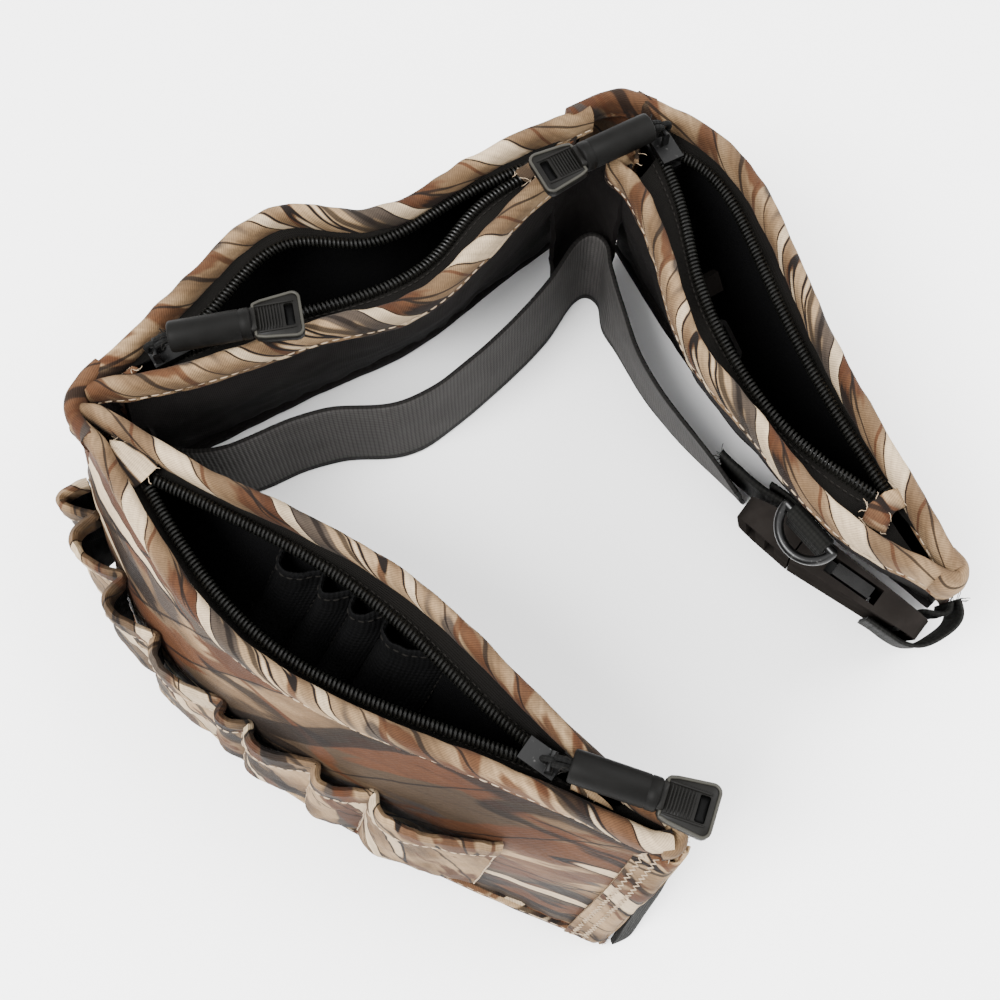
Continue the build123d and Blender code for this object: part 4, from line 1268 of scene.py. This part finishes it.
def make_key_strap():
    start, finish = np.array(KEY_ANCHOR), np.array(KEY_BUCKLE)
    step = finish - start
    side = unit(np.array((-step[1], step[0], 0.0)))
    bow = unit(np.cross(step, side))
    rows = []
    for x in np.linspace(-5, 5, 5):
        rows.append([start + step * s * 0.84 + side * x + bow * 1.2 * math.sin(math.pi * s)
                     for s in np.linspace(0, 1, 24)])
    cloth = Cloth()
    cloth.shell(np.array(rows), 1.2, 0, 0)
    finish_piece(cloth.piece("key_strap_strip", BLACK_ELASTIC), "right", "webbing", "key_strap")


def dress(node, material, soft=0.0004, segments=3):
    """A CAD part kept as it is, with its edges eased and its own finish."""
    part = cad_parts[node]
    part.data.materials.clear()
    part.data.materials.append(material)
    ease = part.modifiers.new("eased_edges", "BEVEL")
    ease.width, ease.segments, ease.limit_method = soft, segments, "ANGLE"
    ease.angle_limit = math.radians(40)
    ease.harden_normals = False
    for polygon in part.data.polygons:
        polygon.use_smooth = True
    split = part.modifiers.new("crisp_faces", "WEIGHTED_NORMAL")
    split.keep_sharp = True


def light(name, place, target, size, power):
    data = bpy.data.lights.new(name, "AREA")
    data.shape, data.size, data.energy = "DISK", size, power
    made = bpy.data.objects.new(name, data)
    bpy.context.scene.collection.objects.link(made)
    made.location = place
    made.rotation_euler = (Vector(target) - Vector(place)).to_track_quat("-Z", "Y").to_euler()


ROOM_LIGHT = 3.0
KEY_POWER, FILL_POWER = 58, 25
FLOOR_HALF = 4.0
FLOOR_DROP = 0.0005
SENSOR_WIDTH, LENS = 36.0, 50.4
CAMERA_EYE = (-4.71, -169.85, 528.5)
CAMERA_TARGET = (-4.71, -10.25, 90.0)


def make_studio():
    scene = bpy.context.scene
    world = bpy.data.worlds.new("soft_room")
    scene.world = world
    world.use_nodes = True
    background = next(n for n in world.node_tree.nodes if n.type == "BACKGROUND")
    background.inputs["Color"].default_value = (1, 1, 1, 1)
    background.inputs["Strength"].default_value = ROOM_LIGHT
    light("key_light", (-0.7, -0.5, 1.3), (0, 0, 0.05), 0.8, KEY_POWER)
    light("fill_light", (0.9, 0.3, 1.1), (0, 0, 0.05), 1.0, FILL_POWER)
    mesh = bpy.data.meshes.new("floor")
    span = FLOOR_HALF
    mesh.from_pydata([(-span, -span, 0), (span, -span, 0), (span, span, 0), (-span, span, 0)], [],
                     [(0, 1, 2, 3)])
    floor = bpy.data.objects.new("floor", mesh)
    scene.collection.objects.link(floor)
    floor.location.z = -FLOOR_DROP
    s = Shader("pale_floor", roughness=0.9, specular=0.1)
    mesh.materials.append(s.finish((0.96, 0.96, 0.96)))

    data = bpy.data.cameras.new("camera")
    data.sensor_width, data.lens = SENSOR_WIDTH, LENS
    camera = bpy.data.objects.new("camera", data)
    scene.collection.objects.link(camera)
    eye, target = Vector(CAMERA_EYE) * MM, Vector(CAMERA_TARGET) * MM
    camera.location = eye
    camera.rotation_euler = (target - eye).to_track_quat("-Z", "Y").to_euler()
    scene.camera = camera


make_studio()
SPREADS = {"left": ((-80, 60), (0, 120)), "centre": ((-150, 30), (-90, 90)), "right": ((60, 200), (-60, 60))}
for body_name, pocket_data in POCKETS.items():
    make_panels(pocket_data, body_name)
    make_bindings(pocket_data, body_name)
    make_zip(pocket_data, body_name)
    make_patches(pocket_data, body_name, SPREADS[body_name])
    make_pull(pocket_data, f"pull_{pocket_data['number']}")
    dress(f"slider_{pocket_data['number']}", SLIDER_METAL, 0.0003)
# The shell loops' backs take the lining, dark as painted shade inside the loops.
make_loops(SHELL_LOOPS, "shell_loops_elastic", 1.5, 1.6, (LOOP_CAMO, LINING_AND_SHADE, PALE_THREAD), "camo_cloth",
           "shell_loops")
make_loops(CARTRIDGE_LOOPS, "cartridge_loops_elastic", 1.2, 0.3, (BLACK_ELASTIC, BLACK_ELASTIC, DARK_THREAD),
           "elastic", "cartridge_loops")
web_piece("left_fold_web_cloth", LEFT_WEB, 1.3, 8.1,
          "left_fold_web", (("centre", (0.975, 0.998)), ("left", (0.002, 0.02))))
web_piece("right_fold_web_cloth", (RIGHT_WEB, RIGHT_WEB), 1.1, 9.7,
          "right_fold_web", (("right", (0.975, 0.998)), ("centre", (0.002, 0.025))))
inner_web("left_fold_inner_web", [(-127.0, 39.5), (-133.0, 40.0), (-138.5, 36.5), (-138.0, 31.0),
                                  (-133.0, 27.0), (-126.0, 24.5)],
          2.2)
inner_web("right_fold_inner_web", [(20.0, 124.5), (25.5, 132.0), (33.0, 136.5), (40.5, 133.5), (45.5, 122.5)],
          5.2)
make_ends()
make_straps()
make_buckle_webbing()
make_ring_tab()
make_key_strap()
dress("buckle_male", BUCKLE_PLASTIC, 0.0012, 4)
dress("buckle_female", BUCKLE_PLASTIC, 0.0012, 4)
dress("latch_upper", LATCH_PLASTIC, 0.0008)
dress("latch_lower", LATCH_PLASTIC, 0.0008)
dress("d_ring", RING_STEEL, 0.0001, 1)
dress("key_buckle", BUCKLE_PLASTIC, 0.0005)
dress("key_hook", HOOK_STEEL, 0.0004)
